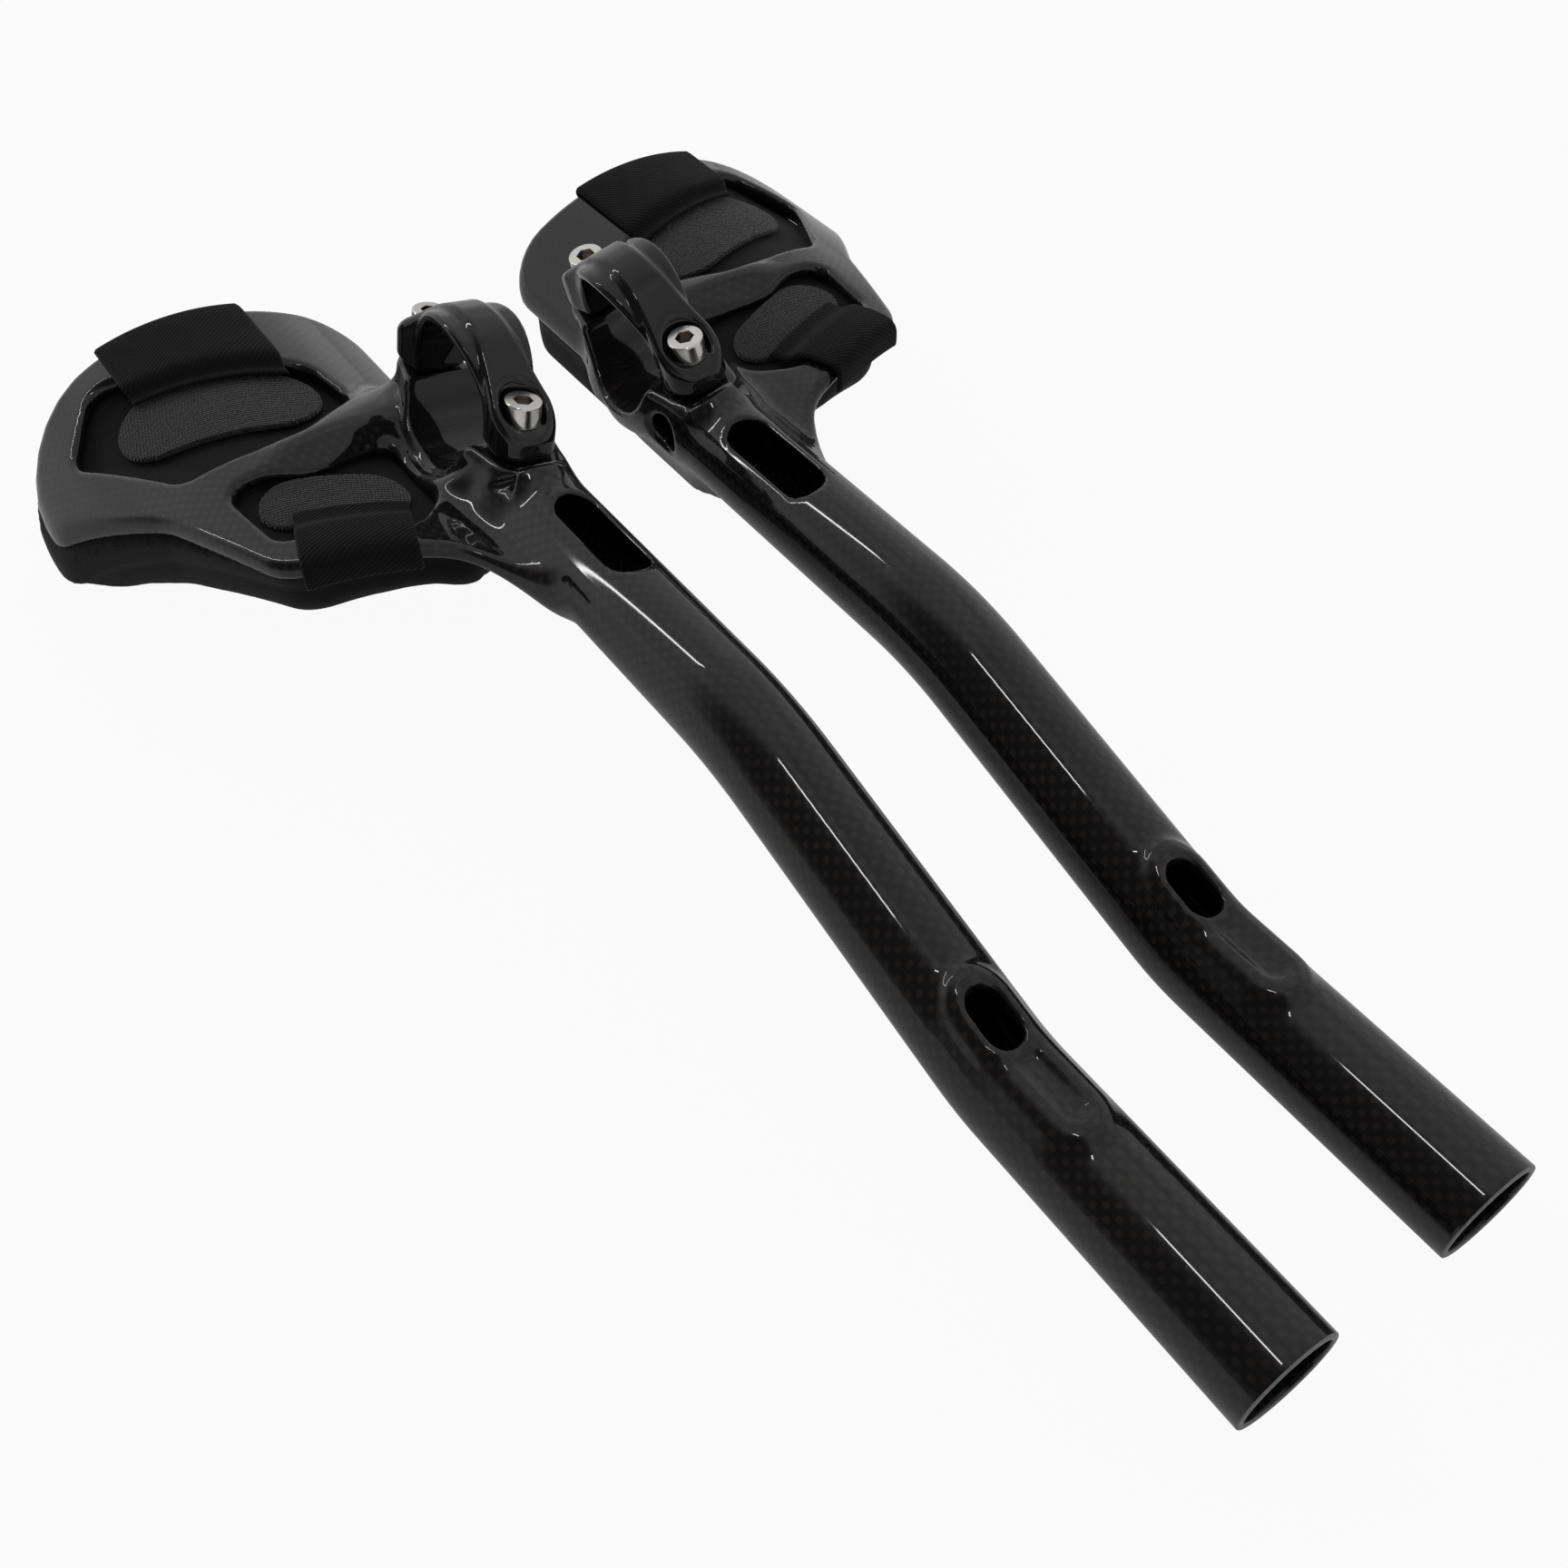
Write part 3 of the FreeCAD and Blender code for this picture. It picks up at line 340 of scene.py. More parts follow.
def obround(u, v, long, wide):
    """A slot outline with round ends, long along u."""
    reach = (long - wide) / 2
    return np.hypot(u - np.clip(u, -reach, reach), v) - wide / 2


def ease(share):
    """A share from 0 to 1 with a soft start and a soft end."""
    return share * share * (3 - 2 * share)


def ramp(value, start, run):
    """How far a value has gone below a start, as a share of a run."""
    return np.clip((start - value) / run, 0, 1)


def rounded_outline(corners, steps=7):
    """A closed outline with an arc at each corner, given as x, y and radius."""
    spots = []
    count = len(corners)
    for index, (x, y, radius) in enumerate(corners):
        here = Vector((x, y))
        back = (Vector(corners[index - 1][:2]) - here).normalized()
        ahead = (Vector(corners[(index + 1) % count][:2]) - here).normalized()
        half = back.angle(ahead) / 2
        centre = here + (back + ahead).normalized() * radius / math.sin(half)
        first = here + back * radius / math.tan(half) - centre
        last = here + ahead * radius / math.tan(half) - centre
        turn = math.atan2(first.cross(last), first.dot(last))
        for step in range(steps + 1):
            spot = centre + Matrix.Rotation(turn * step / steps, 2) @ first
            spots.append((spot.x, spot.y))
    return spots


def outline_distance(outline, x, y):
    """Distance to a closed outline in a plane, below zero inside it."""
    nearest = np.full(np.broadcast(x, y).shape, np.inf)
    inside = np.zeros(nearest.shape, bool)
    for (ax, ay), (bx, by) in zip(outline, outline[1:] + outline[:1]):
        ex, ey = bx - ax, by - ay
        if ex == 0 and ey == 0:
            continue
        along = np.clip(((x - ax) * ex + (y - ay) * ey) / (ex * ex + ey * ey), 0, 1)
        nearest = np.minimum(nearest, (x - ax - along * ex) ** 2 + (y - ay - along * ey) ** 2)
        if ay != by:
            inside ^= ((ay > y) != (by > y)) & (x < ax + ex * (y - ay) / ey)
    return np.where(inside, -1, 1) * np.sqrt(nearest)


def drop_angle(tube):
    """Slope of the tube's drop between its two bends."""
    across = tube.drop_end - tube.drop_start
    rise = tube.upper_bend + tube.lower_bend - (tube.upper_height - tube.radius)
    turn = (tube.upper_bend + tube.lower_bend) / math.hypot(across, rise)
    return math.atan2(across, rise) - math.acos(turn)


def line_distance(tube, x, z):
    """Distance to the tube's centre line in its own upright plane."""
    slope = drop_angle(tube)
    high, low = tube.upper_height, tube.radius
    reach = np.hypot(x - np.clip(x, tube.start, tube.drop_start), z - high)
    reach = np.minimum(reach, np.hypot(x - np.clip(x, tube.drop_end, tube.end + 0.01), z - low))
    first = (tube.drop_start + tube.upper_bend * math.sin(slope),
             high - tube.upper_bend * (1 - math.cos(slope)))
    last = (tube.drop_end - tube.lower_bend * math.sin(slope), low + tube.lower_bend * (1 - math.cos(slope)))
    ex, ez = last[0] - first[0], last[1] - first[1]
    along = np.clip(((x - first[0]) * ex + (z - first[1]) * ez) / (ex * ex + ez * ez), 0, 1)
    reach = np.minimum(reach, np.hypot(x - first[0] - along * ex, z - first[1] - along * ez))
    dx, dz = x - tube.drop_start, z - (high - tube.upper_bend)
    turn = np.arctan2(dx, dz)
    on_arc = (turn >= 0) & (turn <= slope)
    reach = np.where(on_arc, np.minimum(reach, np.abs(np.hypot(dx, dz) - tube.upper_bend)), reach)
    dx, dz = tube.drop_end - x, low + tube.lower_bend - z
    turn = np.arctan2(dx, dz)
    on_arc = (turn >= 0) & (turn <= slope)
    return np.where(on_arc, np.minimum(reach, np.abs(np.hypot(dx, dz) - tube.lower_bend)), reach)


def line_height(tube, x):
    """Height of the tube's centre line, and its slope, ahead of the clamp."""
    slope = drop_angle(tube)
    share = np.clip((x - tube.drop_start) / (tube.drop_end - tube.drop_start), 0, 1)
    height = tube.upper_height + (tube.radius - tube.upper_height) * ease(share)
    return height, slope * 4 * share * (1 - share)


def upright(clamp, y, z):
    """Side and height in the leaned clamp's own frame."""
    over, rise = y - clamp.side, z - CLAMP_Z
    lean_cos, lean_sin = math.cos(clamp.lean), math.sin(clamp.lean)
    return over * lean_cos - rise * lean_sin, CLAMP_Z + over * lean_sin + rise * lean_cos


def arch_reach(rest, y, z):
    """Distance from the axis of the arm rest's arch."""
    return np.hypot(y - rest.axis_side, z - rest.axis_height)


REST_OUTLINE = rounded_outline([
    (REST_REAR, -0.0025, 0.013), (REST_REAR, -0.094, 0.028), (-0.043, -0.0945, 0.014),
    (-0.012, -0.0745, 0.030), (0.025, -0.0613, 0.014), (0.0365, -0.026, 0.014), (0.062, -0.010, 0.005),
    (0.032, -0.0025, 0.013),
])
REAR_WINDOW = rounded_outline([
    (-0.0685, -0.071, 0.006), (-0.051, -0.083, 0.007), (-0.019, -0.0665, 0.006), (-0.016, -0.037, 0.008),
    (-0.0285, -0.0205, 0.007), (-0.0475, -0.0245, 0.009),
])
FRONT_WINDOW = rounded_outline([
    (-0.009, -0.061, 0.005), (-0.007, -0.038, 0.010), (-0.013, -0.0195, 0.005), (0.014, -0.0195, 0.007),
    (0.026, -0.031, 0.007), (0.015, -0.058, 0.006),
])
PAD_OUTLINE = rounded_outline([
    (-0.0775, -0.0055, 0.014), (-0.0775, -0.0957, 0.025), (-0.0436, -0.0960, 0.014),
    (-0.0124, -0.0752, 0.020), (0.022, -0.0583, 0.014), (0.0255, -0.040, 0.014), (0.026, -0.018, 0.014),
    (0.008, -0.0055, 0.014),
])


def plate_form(rest, x, y, z):
    """The arched plate of the arm rest with its two windows."""
    plan = outline_distance(REST_OUTLINE, x, y)
    for window in (REAR_WINDOW, FRONT_WINDOW):
        plan = np.maximum(plan, -outline_distance(window, x, y))
    middle = rest.radius - rest.wall / 2
    return shared(np.abs(arch_reach(rest, y, z) - middle) - rest.wall / 2, plan, rest.edge)


def saddle_form(clamp, edge, x, side, height):
    """The lower half of the clamp: two bolt ears and a flanged cradle."""
    ears = obround(x, side, 2 * (clamp.bolt_reach + clamp.ear_radius), 2 * clamp.ear_radius)
    cup = np.hypot(x, height - CLAMP_Z) - clamp.radius - clamp.saddle_wall
    lens = (np.hypot(x / clamp.flange_reach, side / (clamp.width / 2)) - 1) * clamp.width / 2
    return joined(shared(ears, -height, edge.ears), shared(cup, lens, edge.ears), edge.saddle)


def spoke_form(rest, x, y, z):
    """The fairing that tapers from the saddle into the spoke between the windows."""
    flat_run = math.cos(rest.fairing_climb)
    way = (flat_run * math.sin(rest.fairing_sweep), -flat_run * math.cos(rest.fairing_sweep),
           math.sin(rest.fairing_climb))
    ahead, out, up = x - rest.fairing_at[0], y - rest.fairing_at[1], z - rest.fairing_at[2]
    along = np.clip((ahead * way[0] + out * way[1] + up * way[2]) / rest.fairing_length, 0, 1)
    reach = along * rest.fairing_length
    spoke = np.sqrt((ahead - reach * way[0]) ** 2 + (out - reach * way[1]) ** 2 + (up - reach * way[2]) ** 2)
    return spoke - rest.fairing_root - along * (rest.fairing_tip - rest.fairing_root)


def port_outline(tube, x, over):
    """Outline of the lower port, seen from above."""
    return obround(x - tube.port_centre, over, tube.port_length, tube.port_width)


def with_port_folds(body, tube, edge, pipe, x, over, z):
    """A tube with the pinch, the resin lip and the fold round its lower port."""
    ahead = x - tube.port_centre
    pinch = np.sqrt(((ahead - tube.pinch_at[0]) / tube.pinch_stretch) ** 2 + (over - tube.pinch_at[1]) ** 2
                    + (z - tube.pinch_at[2]) ** 2) - tube.pinch_radius
    body = without(body, pinch * SLANT, edge.pinch)
    lip = np.abs(port_outline(tube, x, over)) - tube.lip_width
    fold = np.abs(obround(ahead - tube.fold_ahead, over, tube.fold_length, tube.fold_width)) - tube.fold_half
    for ridge, rim, fillet in ((lip, edge.lip_edge, edge.lip), (fold, edge.fold_edge, edge.fold)):
        ridge = shared(pipe - tube.port_lip, np.maximum(ridge, tube.radius - z), rim)
        body = joined(body, ridge, fillet)
    return body


def without_base_bar(body, clamp, edge, x, side, height):
    """A moulding cut along its parting face and round the base bar."""
    beyond = np.maximum(np.abs(x) - clamp.bolt_reach - clamp.ear_radius + PARTING_LAND, 0)
    parting = clamp.parting - clamp.parting_gap / 2 - height + PARTING_RAMP * beyond
    body = without(body, parting * SLANT, edge.parting)
    bore = np.hypot(x, height - CLAMP_Z) - clamp.radius
    body = without(body, bore, edge.bore)
    return without(body, np.maximum(bore - clamp.relief, side + clamp.width / 2), edge.relief)


def dimple_form(clamp, edge, x, y, z):
    """A three-cornered dimple in the shoulder ahead of the clamp."""
    ahead, out, up = x - clamp.dimple_at[0], y - clamp.dimple_at[1], z - clamp.dimple_at[2]
    tilt_cos, tilt_sin = DIMPLE_TILT
    across, over = out * tilt_cos + up * tilt_sin, up * tilt_cos - out * tilt_sin
    corners = np.maximum(-across, across / 2 + SIN_60 * np.abs(ahead))
    return shared(corners - clamp.dimple_size, -over - clamp.dimple_depth, edge.dimple)


def without_fasteners(body, clamp, edge, x, side, height):
    """A moulding with the holes of the bolts and their barrel nuts."""
    for place in (clamp.bolt_reach, -clamp.bolt_reach):
        bolt = np.maximum(np.hypot(x - place, side) - clamp.bolt_hole, clamp.bolt_floor - height)
        nut = np.hypot(x - place, height - clamp.nut_height) - clamp.nut_hole
        body = without(body, bolt, edge.hole)
        body = without(body, np.maximum(nut, clamp.nut_floor - side), edge.opening)
    return body


def without_cable_way(body, tube, edge, pipe, x, over, z):
    """A tube made hollow, with its slot and port cut and its end sawn off."""
    body = without(body, np.maximum(pipe + tube.wall, tube.bore_start - x), edge.saw_cut)
    tilt_cos, tilt_sin = math.cos(tube.slot_tilt), math.sin(tube.slot_tilt)
    rise = z - tube.upper_height
    slot = obround(x - tube.slot_centre, over * tilt_cos - rise * tilt_sin, tube.slot_length, tube.slot_width)
    body = without(body, np.maximum(slot, -over * tilt_sin - rise * tilt_cos), edge.opening)
    body = without(body, np.maximum(port_outline(tube, x, over), tube.radius - z), edge.opening)
    return without(body, tube.end - x, edge.saw_cut)


def extension_form(settings):
    """One moulding: arm rest, spoke, saddle and hollow tube."""
    tube, clamp, rest, edge = settings.tube, settings.clamp, settings.rest, settings.edge

    def form(x, y, z):
        side, height = upright(clamp, y, z)
        over = y - tube.offset
        pipe = np.hypot(line_distance(tube, x, z), over) - tube.radius
        body = joined(saddle_form(clamp, edge, x, side, height), pipe, rest.blend)
        body = joined(body, spoke_form(rest, x, y, z), edge.spoke)
        body = with_port_folds(body, tube, edge, pipe, x, over, z)
        body = joined(body, plate_form(rest, x, y, z), rest.blend)
        under = shared(arch_reach(rest, y, z) - rest.radius + rest.wall, x - rest.under_end, edge.under_end)
        body = without(body, under, edge.under)
        body = without_base_bar(body, clamp, edge, x, side, height)
        body = without(body, dimple_form(clamp, edge, x, y, z), edge.hole)
        body = without_fasteners(body, clamp, edge, x, side, height)
        return without_cable_way(body, tube, edge, pipe, x, over, z)

    return form


def cap_form(settings):
    """The upper half of the clamp: a rib between two lower flanges, and two bolt ears."""
    clamp, edge = settings.clamp, settings.edge
    reach = clamp.bolt_reach + clamp.ear_radius
    crown = clamp.radius + clamp.cap_wall
    far = math.hypot(reach, clamp.ear_front - CLAMP_Z)
    touch = math.atan2(clamp.ear_front - CLAMP_Z, reach) + math.acos(crown / far)
    turns = [touch + (math.pi - 2 * touch) * step / CAP_SIDE_STEPS for step in range(CAP_SIDE_STEPS + 1)]
    low = clamp.parting + clamp.parting_gap / 2
    profile = [(reach, low), (reach, clamp.ear_front)]
    profile += [(crown * math.cos(turn), CLAMP_Z + crown * math.sin(turn)) for turn in turns]
    profile += [(-reach, clamp.ear_front), (-reach, low)]
    half = clamp.rib_waist / 2
    arc = (clamp.bolt_reach ** 2 / (clamp.ear_radius - half) - clamp.ear_radius - half) / 2

    def form(x, y, z):
        side, height = upright(clamp, y, z)
        ears = obround(x, side, 2 * reach, 2 * clamp.ear_radius)
        ears = np.maximum(ears, arc - np.hypot(x, np.abs(side) - half - arc))
        rib = shared(outline_distance(profile, x, height), ears, edge.rib)
        ring = np.hypot(x, height - CLAMP_Z) - crown + clamp.rib_rise
        lens = (np.hypot(x / clamp.flange_reach, side / (clamp.cap_width / 2)) - 1) * clamp.cap_width / 2
        body = joined(rib, shared(ring, lens, edge.flange), edge.step)
        body = without(body, height - low, edge.cap_rim)
        body = without(body, np.hypot(x, height - CLAMP_Z) - clamp.radius, edge.cap_rim)
        for place in (clamp.bolt_reach, -clamp.bolt_reach):
            hole = np.hypot(x - place, side)
            body = without(body, hole - clamp.bolt_hole, edge.cap_hole)
            body = without(body, np.maximum(hole - clamp.pocket, clamp.seat - height), edge.pocket)
        return body

    return form


def pad_form(settings, slack, rim):
    """The foam pad: a thick arch that stands on its two edges, made smaller by some slack."""
    rest, soft, edge = settings.rest, settings.soft, settings.edge

    def form(x, y, z):
        arch = arch_reach(rest, y, z)
        lean = ease(ramp(x, *LEAN_BACK)) * ease(ramp(y, *LEAN_OUT))
        press = soft.pad_press * ramp(x, *PRESS_BACK) * ramp(y, *PRESS_OUT)
        plan = outline_distance(PAD_OUTLINE, x, y) + slack
        plan = plan + soft.pad_lean * lean * np.maximum(soft.pad_radius - soft.pad_lean_depth - arch, 0)
        body = shared(arch - soft.pad_radius - press + slack, plan, rim)
        body = shared(body, soft.pad_radius - soft.pad_thickness + slack - arch, soft.pad_edge)
        return shared(body, soft.pad_foot + slack + soft.pad_lift * lean - z, edge.pad_foot)

    return form


def patch_form(settings, centre, long, wide):
    """A felt patch with round ends, curved to the pad's back."""
    rest, soft, edge = settings.rest, settings.soft, settings.edge
    turn_cos, turn_sin = math.cos(PATCH_TURN), math.sin(PATCH_TURN)
    middle = soft.pad_radius + PATCH_CLEARANCE + soft.patch_thickness / 2

    def form(x, y, z):
        u = (x - centre[0]) * turn_cos + (y - centre[1]) * turn_sin
        v = (y - centre[1]) * turn_cos - (x - centre[0]) * turn_sin
        layer = np.abs(arch_reach(rest, y, z) - middle) - soft.patch_thickness / 2 + PATCH_CLEARANCE
        return shared(layer, obround(u, v, long, wide), edge.patch)

    return form


def nap_at(spots):
    """Rise and fall of the felt's loops."""
    u, v = spots[:, 0] * 5100, spots[:, 1] * 4700
    return np.sin(u + 1.7 * np.sin(0.5 * v)) * np.sin(v + 1.3 * np.sin(0.6 * u))


def slope_at(form, spots, reach):
    """A form's distance at some places, and the way in which it grows there."""
    x, y, z = spots.T
    here = form(x, y, z)
    slope = np.stack([form(x + reach, y, z), form(x, y + reach, z), form(x, y, z + reach)], 1) - here[:, None]
    return here, slope / np.maximum(np.linalg.norm(slope, axis=1), reach / 4)[:, None]


def net_of(form, low, high, step, passes=3, relax=0.7):
    """Vertices and quads on the surface of a form: one vertex in each cell that the surface crosses."""
    axes = [np.arange(a - 2 * step, b + 3 * step, step) for a, b in zip(low, high)]
    field = form(axes[0][:, None, None], axes[1][None, :, None], axes[2][None, None, :])
    inside = field < 0
    ends = [slice(0, -1), slice(1, None)]
    offsets = [(i, j, k) for i in (0, 1) for j in (0, 1) for k in (0, 1)]
    count = sum(inside[ends[i], ends[j], ends[k]].astype(np.int8) for i, j, k in offsets)
    active = (count > 0) & (count < 8)
    cells = np.argwhere(active)
    index = np.full(active.shape, -1, np.int32)
    index[active] = np.arange(len(cells))
    corner = {o: field[cells[:, 0] + o[0], cells[:, 1] + o[1], cells[:, 2] + o[2]] for o in offsets}
    total, hits = np.zeros((len(cells), 3)), np.zeros(len(cells))
    for first in offsets:
        for axis in range(3):
            if first[axis]:
                continue
            last = tuple(o + (n == axis) for n, o in enumerate(first))
            f0, f1 = corner[first], corner[last]
            hit = (f0 < 0) != (f1 < 0)
            spot = cells[hit] + np.array(first, float)
            spot[:, axis] += f0[hit] / (f0[hit] - f1[hit])
            total[hit] += spot
            hits[hit] += 1
    spots = np.array([a[0] for a in axes]) + step * total / hits[:, None]
    quads = []
    for axis in range(3):
        b, c = (axis + 1) % 3, (axis + 2) % 3
        below = np.take(inside, range(inside.shape[axis] - 1), axis)
        above = np.take(inside, range(1, inside.shape[axis]), axis)
        at = np.argwhere(below != above)
        at = at[(at[:, b] > 0) & (at[:, c] > 0) & (at[:, b] < active.shape[b]) & (at[:, c] < active.shape[c])]
        outward = below[at[:, 0], at[:, 1], at[:, 2]]
        ring = []
        for back_b, back_c in ((0, 0), (1, 0), (1, 1), (0, 1)):
            cell = at.copy()
            cell[:, b] -= back_b
            cell[:, c] -= back_c
            ring.append(index[cell[:, 0], cell[:, 1], cell[:, 2]])
        ring = np.stack(ring, 1)
        ring[~outward] = ring[~outward][:, ::-1]
        quads.append(ring)
    quads = np.concatenate(quads)
    pairs = np.concatenate([quads[:, [n, (n + 1) % 4]] for n in range(4)])
    degree = np.bincount(pairs[:, 0], minlength=len(spots)) + np.bincount(pairs[:, 1], minlength=len(spots))
    for _ in range(passes):
        mean = np.zeros_like(spots)
        for axis in range(3):
            mean[:, axis] = np.bincount(pairs[:, 0], spots[pairs[:, 1], axis], len(spots))
            mean[:, axis] += np.bincount(pairs[:, 1], spots[pairs[:, 0], axis], len(spots))
        shift = relax * (mean / degree[:, None] - spots)
        slope = slope_at(form, spots, step / 8)[1]
        spots = spots + shift - (shift * slope).sum(1)[:, None] * slope
        for _ in range(2):
            gap, slope = slope_at(form, spots, step / 8)
            spots = spots - np.clip(gap, -step / 2, step / 2)[:, None] * slope
    return spots, quads


def angle_round(tube, spots):
    """Turn of places round the grip's axis."""
    return np.arctan2(spots[:, 1] - tube.offset, spots[:, 2] - tube.radius)


def turned_end(tube, spots, faces, seam):
    """Trade a net's grip end beyond a seam for turned rings: outside, round cut rim and bore."""
    kept = faces[(spots[faces, 0] < seam).all(1)]
    used, faces = np.unique(kept, return_inverse=True)
    spots, faces = spots[used], faces.reshape(kept.shape)
    edges = np.sort(np.concatenate([faces[:, [n, (n + 1) % 4]] for n in range(4)]), 1)
    edges, count = np.unique(edges, axis=0, return_counts=True)
    open_ring = np.unique(edges[count == 1])
    reach = np.hypot(spots[open_ring, 1] - tube.offset, spots[open_ring, 2] - tube.radius)
    bore = tube.radius - tube.wall
    rings = [open_ring[reach > tube.radius - tube.wall / 2], open_ring[reach < tube.radius - tube.wall / 2]]
    outer, inner = [ring[np.argsort(angle_round(tube, spots[ring]))] for ring in rings]
    start = spots[open_ring, 0].mean()
    spots[open_ring, 0] = start
    turns = angle_round(tube, spots[outer])
    round_out, round_in = 0.0004, 0.0003
    quarter = np.linspace(0, math.pi / 2, 4)
    profile = [(x, tube.radius) for x in np.linspace(start, tube.end - round_out, 12)[1:-1]]
    profile += [(tube.end - round_out * (1 - math.sin(turn)), tube.radius - round_out * (1 - math.cos(turn)))
                for turn in quarter]
    profile += [(tube.end - round_in * (1 - math.cos(turn)), bore + round_in * (1 - math.sin(turn)))
                for turn in quarter]
    profile += [(x, bore) for x in np.linspace(tube.end - round_in, start, 12)[1:-1]]
    across = len(turns)
    added = [np.stack([np.full(across, x), tube.offset + reach * np.sin(turns),
                       tube.radius + reach * np.cos(turns)], 1) for x, reach in profile]
    rows = [outer] + [len(spots) + across * row + np.arange(across) for row in range(len(profile))]
    faces = [list(face) for face in faces]
    for back, ahead in zip(rows, rows[1:]):
        for n in range(across):
            m = (n + 1) % across
            faces.append([back[n], ahead[n], ahead[m], back[m]])
    last, inner_turns = rows[-1], angle_round(tube, spots[inner])
    n = m = 0
    while n < across or m < len(inner):
        turn_n = turns[n + 1] if n + 1 < across else turns[0] + 2 * math.pi if n + 1 == across else math.inf
        ahead_m = m + 1
        turn_m = (inner_turns[ahead_m] if ahead_m < len(inner)
                  else inner_turns[0] + 2 * math.pi if ahead_m == len(inner) else math.inf)
        here, there = last[n % across], inner[m % len(inner)]
        if turn_n <= turn_m:
            faces.append([here, there, last[(n + 1) % across]])
            n += 1
        else:
            faces.append([here, there, inner[ahead_m % len(inner)]])
            m += 1
    return np.concatenate([spots] + added), [[int(corner) for corner in face] for face in faces]


def to_row(spots, side):
    """Places of the left bar's own frame, in the frame of the pair."""
    moved = np.array(spots, float) + (BAR_X, BAR_Y, 0)
    if side == "right":
        moved[:, 1] *= -1
    return moved


def piece_of(name, spots, faces, side, nodes, finish):
    """A shown piece that stands for CAD nodes and rides on the root body."""
    faces = [list(face) for face in faces]
    if side == "right":
        faces = [face[::-1] for face in faces]
    mesh = bpy.data.meshes.new(name)
    mesh.from_pydata(to_row(spots, side).tolist(), [], faces)
    mesh.validate()
    mesh.shade_smooth()
    mesh.materials.append(finish)
    piece = bpy.data.objects.new(name, mesh)
    bpy.context.scene.collection.objects.link(piece)
    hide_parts(*nodes)
    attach(piece, "root")
    return piece


# Finishes

class Tone:
    """A shader socket that takes part in Python sums."""

    def __init__(self, paint, socket):
        self.paint = paint
        self.socket = socket

    def sum(self, operation, first, second=None):
        sockets = {0: first} if second is None else {0: first, 1: second}
        return self.paint.node("ShaderNodeMath", {"operation": operation}, sockets)

    def __add__(self, other):
        return self.sum("ADD", self, other)

    def __radd__(self, other):
        return self.sum("ADD", other, self)

    def __sub__(self, other):
        return self.sum("SUBTRACT", self, other)

    def __rsub__(self, other):
        return self.sum("SUBTRACT", other, self)

    def __mul__(self, other):
        return self.sum("MULTIPLY", self, other)

    def __rmul__(self, other):
        return self.sum("MULTIPLY", other, self)

    def __truediv__(self, other):
        return self.sum("DIVIDE", self, other)

    def __rtruediv__(self, other):
        return self.sum("DIVIDE", other, self)

    def __mod__(self, other):
        return self.sum("FLOORED_MODULO", self, other)

    def __lt__(self, other):
        return self.sum("LESS_THAN", self, other)

    def __gt__(self, other):
        return self.sum("GREATER_THAN", self, other)

    def floor(self):
        return self.sum("FLOOR", self)

    def sin(self):
        return self.sum("SINE", self)

    def size(self):
        return self.sum("ABSOLUTE", self)

    def least(self, other):
        return self.sum("MINIMUM", self, other)


class Paint:
    """The nodes of one material, or of the world."""

    def __init__(self, name, owner=None):
        self.owner = owner or bpy.data.materials.new(name)
        self.owner.use_nodes = True
        self.tree = self.owner.node_tree
        self.tree.nodes.clear()

    def node(self, kind, settings=None, sockets=None, outlet=0):
        """Any node: its settings are set first, then its sockets get values or links."""
        made = self.tree.nodes.new(kind)
        for name, setting in (settings or {}).items():
            setattr(made, name, setting)
        for name, given in (sockets or {}).items():
            if isinstance(given, Tone):
                self.tree.links.new(given.socket, made.inputs[name])
            else:
                made.inputs[name].default_value = given
        return Tone(self, made.outputs[outlet]) if made.outputs else None

    def place(self):
        """The surface's own place along x, y and z, in metres."""
        spot = self.node("ShaderNodeTexCoord", outlet=3)
        return [self.node("ShaderNodeSeparateXYZ", sockets={0: spot}, outlet=n) for n in range(3)]

    def cloth_map(self):
        """The two ways of a flat pattern that is wrapped over the surface, in metres."""
        spot = self.node("ShaderNodeUVMap", {"uv_map": "cloth"})
        return [self.node("ShaderNodeSeparateXYZ", sockets={0: spot}, outlet=n) for n in range(2)]

    def noise(self, scale, detail=3.0, rough=0.5):
        """An even noise that lies in the surface's own place."""
        spot = self.node("ShaderNodeTexCoord", outlet=3)
        return self.node("ShaderNodeTexNoise", sockets={
            "Vector": spot, "Scale": scale, "Detail": detail, "Roughness": rough})

    def mix(self, share, first, second):
        """A colour between two colours."""
        first, second = [tone if isinstance(tone, Tone) else (*tone, 1) for tone in (first, second)]
        return self.node("ShaderNodeMix", {"data_type": "RGBA"}, {0: share, 6: first, 7: second}, outlet=2)

    def bump(self, height, depth, strength):
        """A normal that follows a height."""
        return self.node("ShaderNodeBump", sockets={
            "Height": height, "Distance": depth, "Strength": strength})

    def sight(self, straight, mirrored):
        """A share for rays that come straight or through glass, and one for mirrored rays."""
        camera, glossy, through = [self.node("ShaderNodeLightPath", outlet=n) for n in (0, 3, 6)]
        return (camera + through) * straight + glossy * mirrored

    def finish(self, sockets):
        """Close the material with its surface shader."""
        return self.close(self.node("ShaderNodeBsdfPrincipled", sockets=sockets))

    def close(self, surface, kind="ShaderNodeOutputMaterial"):
        """Lead a shader to the output."""
        self.node(kind, sockets={0: surface})
        return self.owner


def shade(colour, share):
    """A colour made darker or lighter."""
    return tuple(share * part for part in colour)


